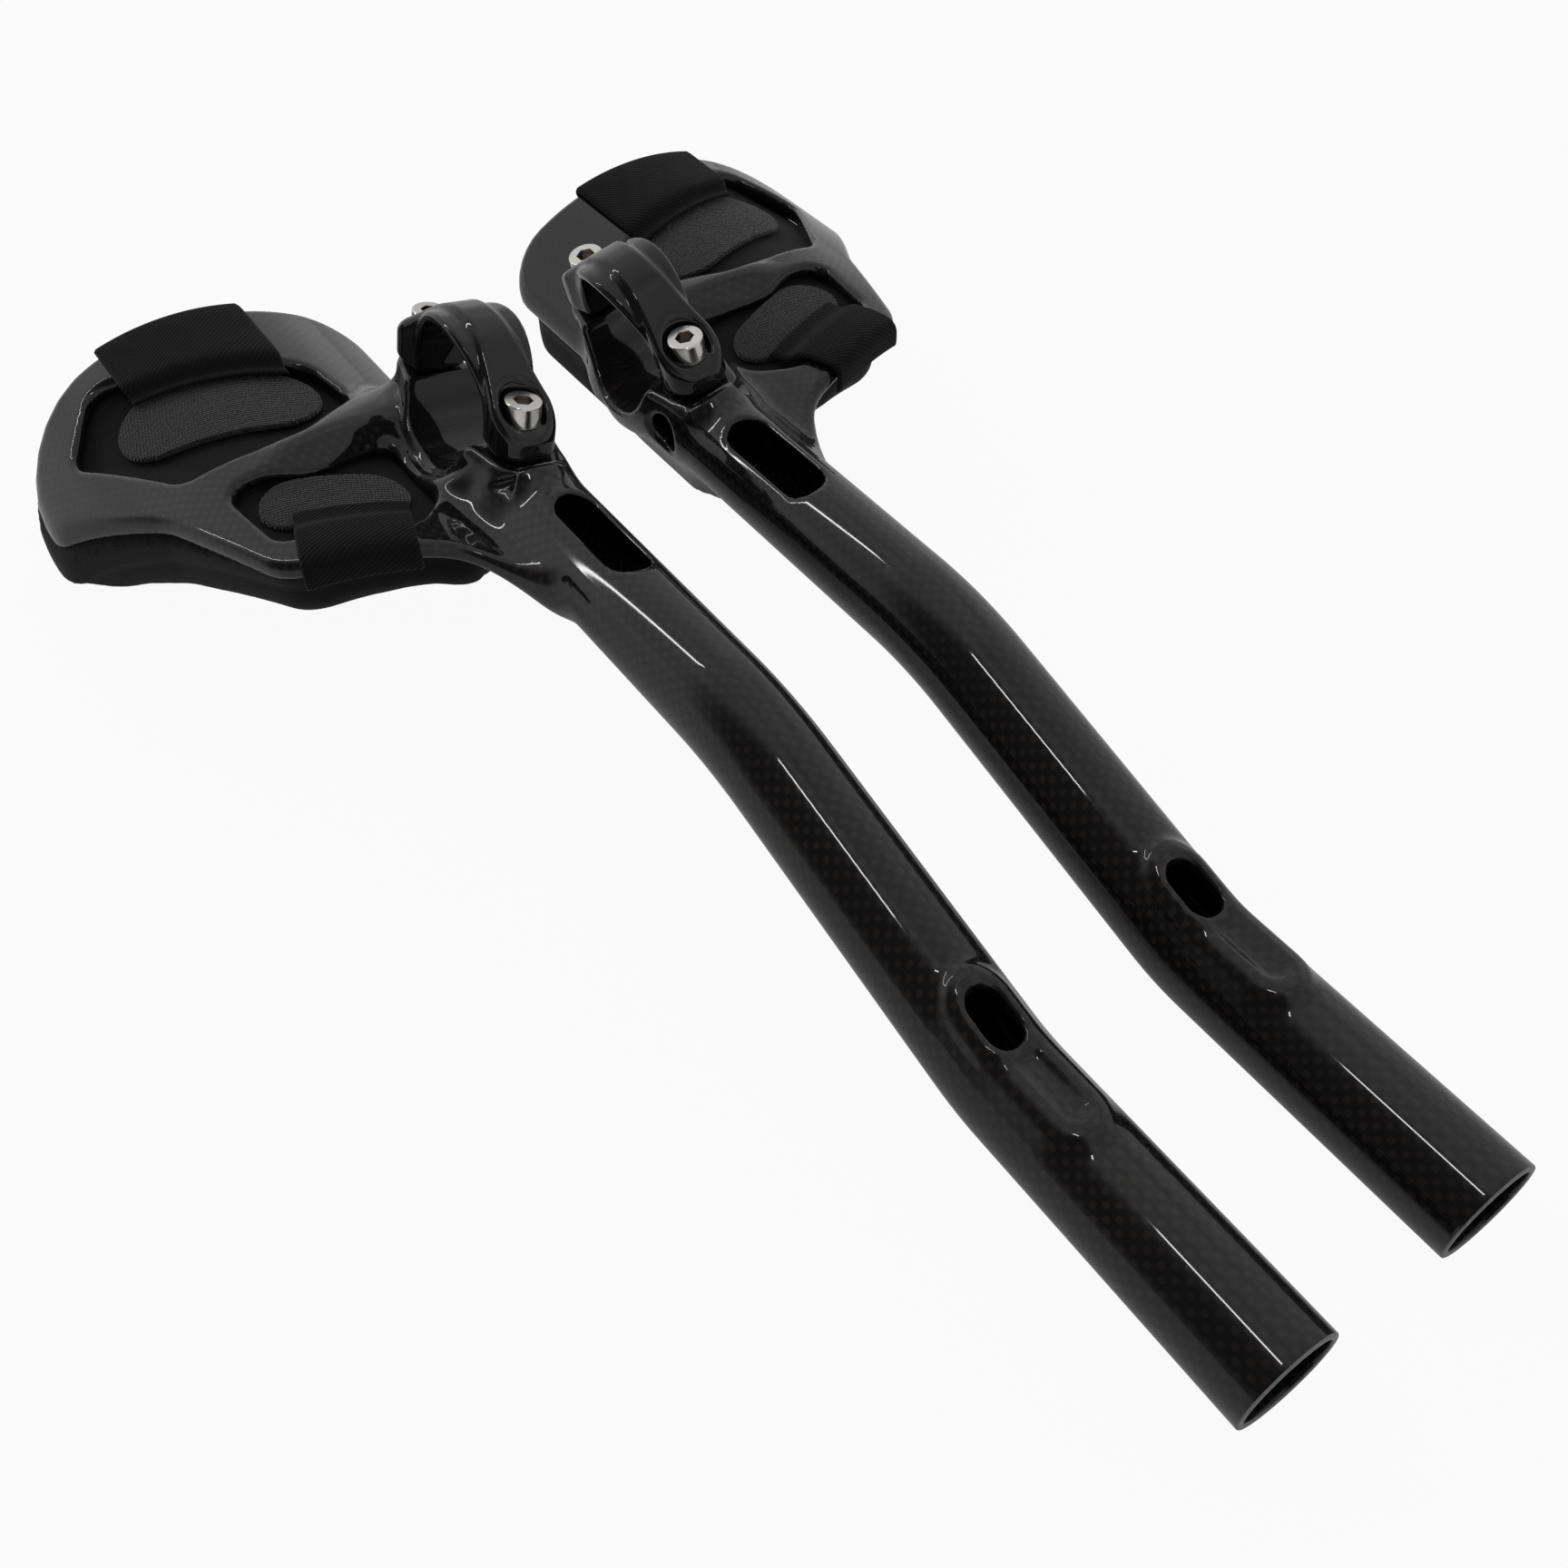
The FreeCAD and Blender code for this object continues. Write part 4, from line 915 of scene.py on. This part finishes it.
def carbon_finish(colours):
    """Woven carbon under thick clear lacquer, its weave shown by painted sheen on the tows, with the grip's
    end sawn bare.
    """
    paint = Paint("carbon_lacquer")
    tow, rest_front, sawn_depth = 0.0016, -0.022, 0.00035
    u, v = paint.cloth_map()
    across, along = u / tow, v / tow
    # Painted sheen: alternate tows are painted lighter, most along each tow's crown, as light would catch
    # them; streak and cloud vary it at random, and it is weaker on the arm rest.
    warp = (across.floor() + along.floor()) % 2
    tow_crown_sheen = ((across % 1) * math.pi).sin() * ((along % 1) * math.pi).sin()
    tow_crown_sheen = (tow_crown_sheen * 1.7).least(1)
    streak = paint.noise(900.0, 2.0)
    cloud = paint.noise(34.0, 4.0)
    x = paint.place()[0]
    on_rest = x < BAR_X + rest_front
    share = warp * tow_crown_sheen * (streak * 0.8 + 0.5) * (cloud * 1.5 + 0.1) * (1 - on_rest * 0.7)
    base = paint.mix(share, colours.carbon_dark, colours.carbon_tow_sheen)
    sawn = x > GRIP_MOUNT["pos_m"][0] - sawn_depth
    base = paint.mix(sawn * (streak * 0.6 + 0.5), base, colours.carbon_cut)
    wave = paint.noise(26.0, 2.0)
    dust = paint.noise(420.0, 4.0)
    ply = (paint.noise(24.0, 1.0) - 0.5).size() < 0.009
    return paint.finish({
        "Base Color": base, "Roughness": 0.42 - warp * 0.1 + dust * 0.06,
        "Coat Weight": 1 - sawn, "Coat Roughness": 0.045, "Coat IOR": 1.5, "Specular IOR Level": 0.08,
        "Normal": paint.bump(wave - ply * on_rest * 0.3, 0.0006, 0.2),
    })


def lacquer_finish(colours):
    """Gloss black lacquer with a faint orange peel."""
    paint = Paint("cap_lacquer")
    peel = paint.noise(160.0, 2.0)
    cloud = paint.noise(60.0, 3.0)
    base = paint.mix(cloud, colours.lacquer, shade(colours.lacquer, 1.6))
    return paint.finish({
        "Base Color": base, "Roughness": 0.3 + cloud * 0.06, "Coat Weight": 1.0, "Coat Roughness": 0.03,
        "Specular IOR Level": 0.05,
        "Normal": paint.bump(peel, 0.0003, 0.25),
    })


def steel_finish(colours, clamp):
    """Polished stainless steel with turning marks, and painted shade in the sockets."""
    paint = Paint("bolt_steel")
    marks = paint.noise(1900.0, 2.0)
    grime = paint.noise(320.0, 4.0)
    base = paint.mix((grime - 0.45) * 1.4, colours.steel, shade(colours.steel, 0.72))
    x, y, z = paint.place()
    over, rise = -CLAMP_Y - y.size(), z - CLAMP_Z
    side = over * math.cos(clamp.lean) - rise * math.sin(clamp.lean)
    height = over * math.sin(clamp.lean) + rise * math.cos(clamp.lean)
    ahead = (x - BAR_X).size() - clamp.bolt_reach
    # Painted shade: the hex socket below its lip is darkened, its strength varied by the grime noise.
    in_bore = (ahead * ahead + side * side) < SOCKET_REACH ** 2
    in_shaded_socket = in_bore * (height < clamp.seat + SOCKET_LIP - CLAMP_Z)
    base = paint.mix(in_shaded_socket * (0.4 + grime * 0.5), base, colours.socket)
    return paint.finish({
        "Base Color": base, "Metallic": 1.0, "Roughness": 0.12 + marks * 0.10 + grime * 0.05,
        "Normal": paint.bump(marks, 0.00004, 0.3),
    })


def nut_finish(colours):
    """Blackened turned steel."""
    paint = Paint("nut_steel")
    marks = paint.noise(1500.0, 3.0)
    base = paint.mix(marks, colours.nut, shade(colours.nut, 0.6))
    return paint.finish({"Base Color": base, "Metallic": 1.0, "Roughness": 0.3 + marks * 0.2})


def cover_finish(colours):
    """Matte stretch knit: fine columns of stitches."""
    paint = Paint("pad_cover")
    x, y, z = paint.place()
    rows = ((x * 4200.0).sin() * ((y + z) * 5200.0).sin()) * 0.5 + 0.5
    cloud = paint.noise(70.0, 4.0)
    lint = paint.noise(1400.0, 2.0)
    share = rows * 0.35 + cloud * 0.4 + lint * 0.25
    base = paint.mix(share, shade(colours.cover, 0.7), shade(colours.cover, 1.7))
    return paint.finish({
        "Base Color": base, "Roughness": 0.82 + lint * 0.12, "Specular IOR Level": 0.22,
        "Sheen Weight": 0.18, "Sheen Roughness": 0.45,
        "Normal": paint.bump(rows * 0.5 + lint * 0.5, 0.00012, 0.6),
    })


def felt_finish(colours):
    """Loop felt: a tangle of short fibres on a coarse ground."""
    paint = Paint("hook_felt")
    loop_pitch = 0.0011
    x, y, z = paint.place()
    drift = paint.noise(420.0, 2.0) * 0.0007
    u = x * math.cos(PATCH_TURN) + y * math.sin(PATCH_TURN) + drift
    v = y * math.cos(PATCH_TURN) - x * math.sin(PATCH_TURN) + drift
    turns = 2 * math.pi / loop_pitch * 0.71
    loops = ((u + v) * turns).sin() * ((u - v) * turns).sin() * 0.5 + 0.5
    tufts = paint.noise(1500.0, 4.0, 0.7)
    share = loops * 0.75 + tufts * 0.9 - 0.35
    base = paint.mix(share, shade(colours.felt, 0.4), shade(colours.felt, 2.1))
    return paint.finish({
        "Base Color": base, "Roughness": 0.95, "Specular IOR Level": 0.15,
        "Sheen Weight": 0.35, "Sheen Roughness": 0.5,
        "Normal": paint.bump(loops * 0.7 + tufts * 0.4, 0.0005, 0.9),
    })


def webbing_finish(colours, name, ribs):
    """Elastic webbing: fine twill, with ribs across a stretched strap."""
    paint = Paint(name)
    twill_pitch, yarn_pitch, cord_pitch = 0.00062, 0.00036, 0.0009
    u, v = paint.cloth_map()
    twill = (((u + v) / twill_pitch) * math.pi).sin() * 0.5 + 0.5
    yarn = ((u / yarn_pitch) * math.pi).sin() * 0.5 + 0.5
    cord = ((v * 0.8 + u * 0.6) / cord_pitch * 2 * math.pi).sin() * 0.5 + 0.5
    lint = paint.noise(1500.0, 3.0)
    weave = twill * (0.6 - 0.5 * ribs) + yarn * 0.2 + cord * (0.75 * ribs)
    share = weave * 0.6 + lint * 0.4
    base = paint.mix(share, shade(colours.webbing, 0.5), shade(colours.webbing, 1.9))
    return paint.finish({
        "Base Color": base, "Roughness": 0.86 + lint * 0.1, "Specular IOR Level": 0.2,
        "Sheen Weight": 0.12, "Sheen Roughness": 0.4,
        "Normal": paint.bump(weave * 0.8 + lint * 0.2, 0.00028, 0.8),
    })


# Pieces

def map_carbon(mesh, spots, settings):
    """Wrap the weave round the tube and over the arch, face by face."""
    tube, rest = settings.tube, settings.rest
    index = np.empty(len(mesh.loops), np.int32)
    mesh.loops.foreach_get("vertex_index", index)
    sides = np.empty(len(mesh.polygons), np.int32)
    mesh.polygons.foreach_get("loop_total", sides)
    first = np.cumsum(sides) - sides
    corners = spots[index]
    middle = np.repeat(np.add.reduceat(corners, first) / sides[:, None], sides, 0)
    height, slope = line_height(tube, corners[:, 0])
    turn = np.arctan2(corners[:, 1] - tube.offset, (corners[:, 2] - height) * np.cos(slope))
    turn_first = np.repeat(turn[first], sides)
    turn = turn_first + (turn - turn_first + math.pi) % (2 * math.pi) - math.pi
    arch_turn = np.arctan2(corners[:, 1] - rest.axis_side, corners[:, 2] - rest.axis_height)
    pipe = np.hypot(line_distance(tube, middle[:, 0], middle[:, 2]), middle[:, 1] - tube.offset)
    pipe = np.abs(pipe - tube.radius)
    arch = np.abs(arch_reach(rest, middle[:, 1], middle[:, 2]) - rest.radius)
    on_tube = (pipe < arch) | (middle[:, 0] > TUBE_ALONE)
    across = np.where(on_tube, turn * tube.radius, arch_turn * rest.radius)
    flat = np.stack([corners[:, 0], across], 1)
    flat[np.minimum(pipe, arch) > WEAVE_DEPTH] = 0
    layer = mesh.uv_layers.new(name="cloth")
    layer.data.foreach_set("uv", flat.reshape(-1).astype(np.float32))


class HANDLEBAR_OT_extension_bars(bpy.types.Operator):
    """Mould the two carbon bars in one piece each, with soft fillets between their limbs"""
    bl_idname = "handlebar.extension_bars"
    bl_label = "Extension Bars"

    def execute(self, context):
        settings = context.scene.handlebar
        finish = carbon_finish(settings.finish)
        step = BAR_STEP
        spots, faces = net_of(extension_form(settings), *BAR_BOX, step)
        origin = BAR_BOX[0][0] - 2 * step
        seam = origin + step * round((settings.tube.end - GRIP_SEAM - origin) / step)
        spots, faces = turned_end(settings.tube, spots, faces, seam)
        for side in SIDES:
            node = side + "_extension_bar"
            piece = piece_of(side + "_carbon_bar", spots, faces, side, [node], finish)
            map_carbon(piece.data, spots, settings)
        return {"FINISHED"}


class HANDLEBAR_OT_clamp_caps(bpy.types.Operator):
    """Shape the two clamp caps with their ribs, flanges and bolt pockets"""
    bl_idname = "handlebar.clamp_caps"
    bl_label = "Clamp Caps"

    def execute(self, context):
        settings = context.scene.handlebar
        finish = lacquer_finish(settings.finish)
        spots, faces = net_of(cap_form(settings), *CAP_BOX, FINE_STEP)
        for side in SIDES:
            node = side + "_clamp_cap"
            piece_of(side + "_lacquered_cap", spots, faces, side, [node], finish)
        return {"FINISHED"}


class HANDLEBAR_OT_fasteners(bpy.types.Operator):
    """Finish the socket head bolts and the barrel nuts"""
    bl_idname = "handlebar.fasteners"
    bl_label = "Bolts and Nuts"

    def execute(self, context):
        settings = context.scene.handlebar
        finishes = {"clamp_bolts": steel_finish(settings.finish, settings.clamp),
                    "barrel_nuts": nut_finish(settings.finish)}
        for ending, finish in finishes.items():
            for side in SIDES:
                node = frame["nodes"][side + "_" + ending]
                node.data.materials.clear()
                node.data.materials.append(finish)
        return {"FINISHED"}


def settled(holder):
    """Places and faces of an object as its modifiers leave it."""
    seen = holder.evaluated_get(bpy.context.evaluated_depsgraph_get())
    spots = np.empty(3 * len(seen.data.vertices))
    seen.data.vertices.foreach_get("co", spots)
    return spots.reshape(-1, 3), [list(face.vertices) for face in seen.data.polygons]


def hemmed(settings, spots):
    """Places of a cover, drawn back to the pad's form where it lies below the arm rest."""
    rest, soft = settings.rest, settings.soft
    hem = pad_form(settings, 0.0, HEM_RIM)
    for _ in range(HEM_PASSES):
        depth = (arch_reach(rest, spots[:, 1], spots[:, 2]) - soft.pad_radius) / HEM_DEPTH
        inset = outline_distance(PAD_OUTLINE, spots[:, 0], spots[:, 1]) / HEM_WIDTH
        share = np.clip(depth + 1.2, 0, 1) * np.clip(inset + 1.6, 0, 1)
        gap, slope = slope_at(hem, spots, PROBE)
        spots = spots - (share * np.clip(gap, -HEM_MOST, HEM_MOST))[:, None] * slope
    return spots


def swollen(settings, spots, faces):
    """Let a cover swell over its foam in a short cloth run, held at its seam, then refine it."""
    rest, soft = settings.rest, settings.soft
    scene = bpy.context.scene
    mesh = bpy.data.meshes.new("cover")
    mesh.from_pydata(spots.tolist(), [], [list(face) for face in faces])
    holder = bpy.data.objects.new("cover", mesh)
    scene.collection.objects.link(holder)
    arch = arch_reach(rest, spots[:, 1], spots[:, 2])
    on_wall = outline_distance(PAD_OUTLINE, spots[:, 0], spots[:, 1]) > -soft.pad_swell - WALL_DEPTH
    at_seam = on_wall & (np.abs(arch - soft.pad_radius + SEAM_SHARE * soft.pad_thickness) < SEAM_HALF)
    seam = holder.vertex_groups.new(name="seam")
    seam.add(np.flatnonzero(at_seam).tolist(), 1.0, "REPLACE")
    swell = holder.modifiers.new("swell", "CLOTH")
    cloth = swell.settings
    cloth.quality = 5
    cloth.vertex_group_mass = "seam"
    cloth.use_pressure = True
    cloth.uniform_pressure_force = 4.0
    cloth.effector_weights.gravity = 0.0
    swell.point_cache.frame_end = SWELL_FRAMES
    for number in range(1, SWELL_FRAMES + 1):
        scene.frame_set(number)
    moved = settled(holder)[0] - spots
    far = np.linalg.norm(moved, axis=1)
    moved *= np.minimum(1, soft.pad_swell / np.maximum(far, 1e-9))[:, None]
    holder.modifiers.remove(swell)
    scene.frame_set(1)
    mesh.vertices.foreach_set("co", (spots + moved).reshape(-1))
    smooth = holder.modifiers.new("smooth", "SUBSURF")
    smooth.levels = 1
    fine, fine_faces = settled(holder)
    bpy.data.objects.remove(holder)
    bpy.data.meshes.remove(mesh)
    return hemmed(settings, fine), fine_faces


class HANDLEBAR_OT_arm_pads(bpy.types.Operator):
    """Make the two foam pads and let their covers swell"""
    bl_idname = "handlebar.arm_pads"
    bl_label = "Arm Pads"

    def execute(self, context):
        settings = context.scene.handlebar
        soft = settings.soft
        finish = cover_finish(settings.finish)
        spots, faces = net_of(pad_form(settings, soft.pad_swell, soft.pad_rim), *PAD_BOX, PAD_STEP)
        spots, faces = swollen(settings, spots, faces)
        for side in SIDES:
            node = side + "_arm_pad"
            piece = piece_of(side + "_padded_rest", spots, faces, side, [node], finish)
        return {"FINISHED"}


class HANDLEBAR_OT_hook_patches(bpy.types.Operator):
    """Lay the felt patches on the backs of the pads"""
    bl_idname = "handlebar.hook_patches"
    bl_label = "Hook Patches"

    def execute(self, context):
        settings = context.scene.handlebar
        finish = felt_finish(settings.finish)
        for kind, centre, long, wide in PATCHES:
            half = long / 2 + PATCH_ROOM
            low = (centre[0] - half, centre[1] - half, PATCH_HEIGHTS[0])
            high = (centre[0] + half, centre[1] + half, PATCH_HEIGHTS[1])
            form = patch_form(settings, centre, long, wide)
            spots, faces = net_of(form, low, high, FINE_STEP)
            spots = spots + NAP_DEPTH * nap_at(spots)[:, None] * slope_at(form, spots, PROBE)[1]
            for side in SIDES:
                name = side + "_" + kind + "_felt"
                piece_of(name, spots, faces, side, [side + "_" + kind + "_hook_patch"], finish)
        return {"FINISHED"}


def run_along(line):
    """How far along a line each of its places lies."""
    return np.concatenate([[0], np.cumsum(np.hypot(*np.diff(line, axis=0).T))])


def smooth_path(points, steps=90):
    """Evenly spaced places on a smooth line near a few points, and the line's length."""
    curve = bpy.data.curves.new("path", "CURVE")
    curve.dimensions = "3D"
    spline = curve.splines.new("NURBS")
    spline.points.add(len(points) - 1)
    for spot, (a, b) in zip(spline.points, points):
        spot.co = (a, b, 0, 1)
    spline.order_u = 3
    spline.use_endpoint_u = True
    spline.resolution_u = 16
    holder = bpy.data.objects.new("path", curve)
    mesh = bpy.data.meshes.new_from_object(holder)
    line = np.array([vertex.co[:2] for vertex in mesh.vertices])
    bpy.data.objects.remove(holder)
    bpy.data.meshes.remove(mesh)
    bpy.data.curves.remove(curve)
    run = run_along(line)
    even = np.linspace(0, run[-1], steps)
    return np.stack([np.interp(even, run, line[:, n]) for n in range(2)], 1), run[-1]


def strap_piece(name, line, width, thick, place, side, node, finish, columns=48):
    """Webbing with round edges along a line: place() turns run, height and side into a spot."""
    count = len(line)
    way = np.gradient(line, axis=0)
    way /= np.linalg.norm(way, axis=1)[:, None]
    normal = np.stack([-way[:, 1], way[:, 0]], 1)
    across = np.linspace(-width / 2, width / 2, columns)
    edge = np.clip((width / 2 - np.abs(across)) / (thick / 2), 0, 1)
    half = thick / 2 * np.sqrt(np.clip(1 - (1 - edge) ** 2, 0.06, 1))
    run = run_along(line)
    spots, flat = [], []
    for face in (1, -1):
        for n in range(count):
            end = min(n, count - 1 - n)
            taper = math.sqrt(min(1.0, 0.25 + end * 0.35))
            for m in range(columns):
                spot = line[n] + normal[n] * face * half[m] * taper
                spots.append(place(spot[0], spot[1], across[m]))
                flat.append((across[m], run[n]))

    def top(n, m):
        return n * columns + m

    def low(n, m):
        return count * columns + top(n, m)

    faces = []
    for n in range(count - 1):
        for m in range(columns - 1):
            faces.append((top(n, m), top(n + 1, m), top(n + 1, m + 1), top(n, m + 1)))
            faces.append((low(n, m), low(n, m + 1), low(n + 1, m + 1), low(n + 1, m)))
    for n in range(count - 1):
        faces.append((top(n, 0), low(n, 0), low(n + 1, 0), top(n + 1, 0)))
        last = columns - 1
        faces.append((top(n, last), top(n + 1, last), low(n + 1, last), low(n, last)))
    for m in range(columns - 1):
        faces.append((top(0, m), top(0, m + 1), low(0, m + 1), low(0, m)))
        last = count - 1
        faces.append((top(last, m), low(last, m), low(last, m + 1), top(last, m + 1)))
    spots = np.array(spots)
    piece = piece_of(name, spots, faces, side, [node], finish)
    layer = piece.data.uv_layers.new(name="cloth")
    for loop in piece.data.loops:
        layer.data[loop.index].uv = flat[loop.vertex_index]
    return piece


def strap_heights(settings):
    """Reach of a strap's middle from the arch's axis, over the rim and lying on a patch."""
    soft = settings.soft
    half = soft.strap_thickness / 2
    on_patch = soft.pad_radius + PATCH_CLEARANCE + soft.patch_thickness
    return settings.rest.radius + STRAP_CLEARANCE + half, on_patch + STRAP_CLEARANCE + half


def rear_strap(settings):
    """The rear strap's line, its length, and how run, reach and side lie on the arch."""
    rest, soft = settings.rest, settings.soft
    over, lying = strap_heights(settings)
    behind = REST_REAR - STRAP_CLEARANCE - soft.strap_thickness / 2
    end, skew = soft.rear_strap_end, math.tan(soft.rear_strap_skew)
    line, run = smooth_path([
        (behind, over - soft.rear_strap_drop), (behind, over - 0.004), (behind, over - 0.0001),
        (-0.0755, over + 0.0003), (-0.066, over), (end - 0.007, over), (end - 0.0048, over - 0.0004),
        (end - 0.0032, lying + 0.0012), (end - 0.0016, lying + 0.0004), (end, lying + 0.0009)])

    def on_arch(run, reach, across):
        turn = across / rest.radius
        if run > behind:
            run = behind + (run - behind) * (end + skew * across - behind) / (end - behind)
        return (run, rest.axis_side + reach * math.sin(turn), rest.axis_height + reach * math.cos(turn))

    return line, run, on_arch


def front_strap(settings):
    """The front strap's line, its length, and how run, reach and side lie on the rim."""
    rest, soft = settings.rest, settings.soft
    over, lying = strap_heights(settings)
    before = STRAP_CLEARANCE + soft.strap_thickness / 2
    ahead = (math.cos(FRONT_STRAP_TURN), math.sin(FRONT_STRAP_TURN))
    line, run = smooth_path([
        (before, over - soft.front_strap_drop), (before + 0.0003, over - 0.005), (before, over - 0.0002),
        (-0.004, over + 0.0004), (-0.0085, over), (-0.0112, over - 0.0003), (-0.0138, lying + 0.001),
        (-0.016, lying + 0.0002), (-0.0197, lying + 0.0005)])

    def on_rim(run, reach, across):
        x = FRONT_STRAP_AT[0] + run * ahead[0] - across * ahead[1]
        y = FRONT_STRAP_AT[1] + run * ahead[1] + across * ahead[0]
        fall = rest.radius - math.sqrt(rest.radius ** 2 - (y - rest.axis_side) ** 2)
        return (x, y, rest.axis_height + reach - fall * FRONT_STRAP_FALL)

    return line[::-1], run, on_rim


class HANDLEBAR_OT_straps(bpy.types.Operator):
    """Lead the elastic straps over the rims of the arm rests"""
    bl_idname = "handlebar.straps"
    bl_label = "Straps"

    def execute(self, context):
        settings = context.scene.handlebar
        soft = settings.soft
        straps = (("rear", rear_strap(settings), soft.rear_strap_width, 0.15),
                  ("front", front_strap(settings), soft.front_strap_width, 1.0))
        finishes = {kind: webbing_finish(settings.finish, kind + "_webbing", ribs)
                    for kind, _, _, ribs in straps}
        for side in SIDES:
            for kind, (line, run, place), width, _ in straps:
                node = side + "_" + kind + "_strap"
                piece = strap_piece(side + "_" + kind + "_webbing", line, width, soft.strap_thickness, place,
                                    side, node, finishes[kind])
                side + "_" + kind + "_felt"
        return {"FINISHED"}


def strip_lamp(name, at, power, width, depth, turn=0.0):
    """A soft rectangular lamp that faces straight down."""
    light = bpy.data.lights.new(name, "AREA")
    light.shape = "RECTANGLE"
    light.size, light.size_y = width, depth
    light.energy = power
    holder = bpy.data.objects.new(name, light)
    bpy.context.scene.collection.objects.link(holder)
    holder.location = at
    holder.rotation_euler.z = turn


def lay_floor(scene, stage):
    """A pale paper floor that looks white and keeps the shadow."""
    half = stage.floor_size / 2
    mesh = bpy.data.meshes.new("floor")
    mesh.from_pydata([(-half, -half, 0), (half, -half, 0), (half, half, 0), (-half, half, 0)], [],
                     [(0, 1, 2, 3)])
    paint = Paint("floor_paper")
    tint = scene.handlebar.finish.floor
    paper = paint.node("ShaderNodeBsdfPrincipled", sockets={
        "Base Color": paint.mix(paint.noise(220.0, 4.0), tint, shade(tint, 0.985)),
        "Roughness": 1.0, "Specular IOR Level": 0.0})
    glow = paint.node("ShaderNodeEmission", sockets={"Color": (1, 1, 1, 1), "Strength": 1.0})
    mixed = paint.node("ShaderNodeMixShader", sockets={0: paint.sight(0.94, 0.12), 1: paper, 2: glow})
    mesh.materials.append(paint.close(mixed))
    floor = bpy.data.objects.new("floor", mesh)
    scene.collection.objects.link(floor)


def light_room(scene, stage):
    """A studio with a dark side by the camera, uneven walls and two strip lamps."""
    scene.world = scene.world or bpy.data.worlds.new("studio")
    room = Paint("studio", scene.world)
    way = room.node("ShaderNodeTexCoord", outlet=0)
    near = room.node("ShaderNodeVectorMath", {"operation": "DOT_PRODUCT"}, {0: way, 1: stage.dark_way}, 1)
    back = room.node("ShaderNodeSeparateXYZ", sockets={0: way})
    bright = room.node("ShaderNodeMapRange", {"interpolation_type": "SMOOTHSTEP"}, {
        0: near, 1: 0.62, 2: 0.90, 3: stage.world_light, 4: stage.world_dark})
    bright = bright * room.node("ShaderNodeMapRange", sockets={0: back, 1: -1.0, 2: 0.0, 3: 1.2, 4: 1.0})
    bright = bright * (room.noise(2.4, 1.0) * 1.3 + 0.35)
    around = room.node("ShaderNodeBackground", sockets={"Strength": bright})
    behind = room.node("ShaderNodeBackground", sockets={"Color": (1, 1, 1, 1)})
    mixed = room.node("ShaderNodeMixShader", sockets={0: room.sight(1.0, 0.03), 1: around, 2: behind})
    room.close(mixed, "ShaderNodeOutputWorld")
    strip_lamp("near_strip", stage.near_strip_at, stage.near_strip_power, 0.14, 0.028)
    strip_lamp("far_strip", stage.far_strip_at, stage.far_strip_power, 1.1, 0.016, FAR_STRIP_TURN)


def stand_camera(scene, stage):
    """A camera that sees the pair as the photograph does."""
    camera = bpy.data.cameras.new("photo_view")
    camera.lens = stage.focal_length
    camera.sensor_width = 36
    camera.clip_start = 0.01
    holder = bpy.data.objects.new("photo_view", camera)
    scene.collection.objects.link(holder)
    holder.location = stage.camera_at
    holder.rotation_euler = Vector(stage.camera_way).to_track_quat("-Z", "Y").to_euler()
    scene.camera = holder


class HANDLEBAR_OT_stage(bpy.types.Operator):
    """Set the pale floor, the studio light and the camera"""
    bl_idname = "handlebar.stage"
    bl_label = "Stage"

    def execute(self, context):
        scene = context.scene
        scene.view_settings.view_transform = "Standard"
        for job in (lay_floor, light_room, stand_camera):
            job(scene, scene.handlebar.stage)
        return {"FINISHED"}


class HANDLEBAR_PT_panel(bpy.types.Panel):
    """Buttons for each group of pieces"""
    bl_idname = "HANDLEBAR_PT_panel"
    bl_label = "Handlebar"
    bl_space_type = "VIEW_3D"
    bl_region_type = "UI"
    bl_category = "Handlebar"

    def draw(self, context):
        for operator in OPERATORS:
            self.layout.operator(operator.bl_idname)


GROUPS = (
    TubeSizes, ClampSizes, RestSizes, EdgeSizes, SoftSizes, Finishes, StageSizes, HandlebarSettings,
)
OPERATORS = (
    HANDLEBAR_OT_extension_bars, HANDLEBAR_OT_clamp_caps, HANDLEBAR_OT_fasteners, HANDLEBAR_OT_arm_pads,
    HANDLEBAR_OT_hook_patches, HANDLEBAR_OT_straps, HANDLEBAR_OT_stage,
)


def register():
    for kind in (*GROUPS, *OPERATORS, HANDLEBAR_PT_panel):
        bpy.utils.register_class(kind)
    bpy.types.Scene.handlebar = PointerProperty(type=HandlebarSettings)


def unregister():
    del bpy.types.Scene.handlebar
    for kind in reversed((*GROUPS, *OPERATORS, HANDLEBAR_PT_panel)):
        bpy.utils.unregister_class(kind)


def main():
    register()
    for operator in OPERATORS:
        group, name = operator.bl_idname.split(".")
        getattr(getattr(bpy.ops, group), name)()
    bpy.context.view_layer.update()


if __name__ == "__main__":
    main()
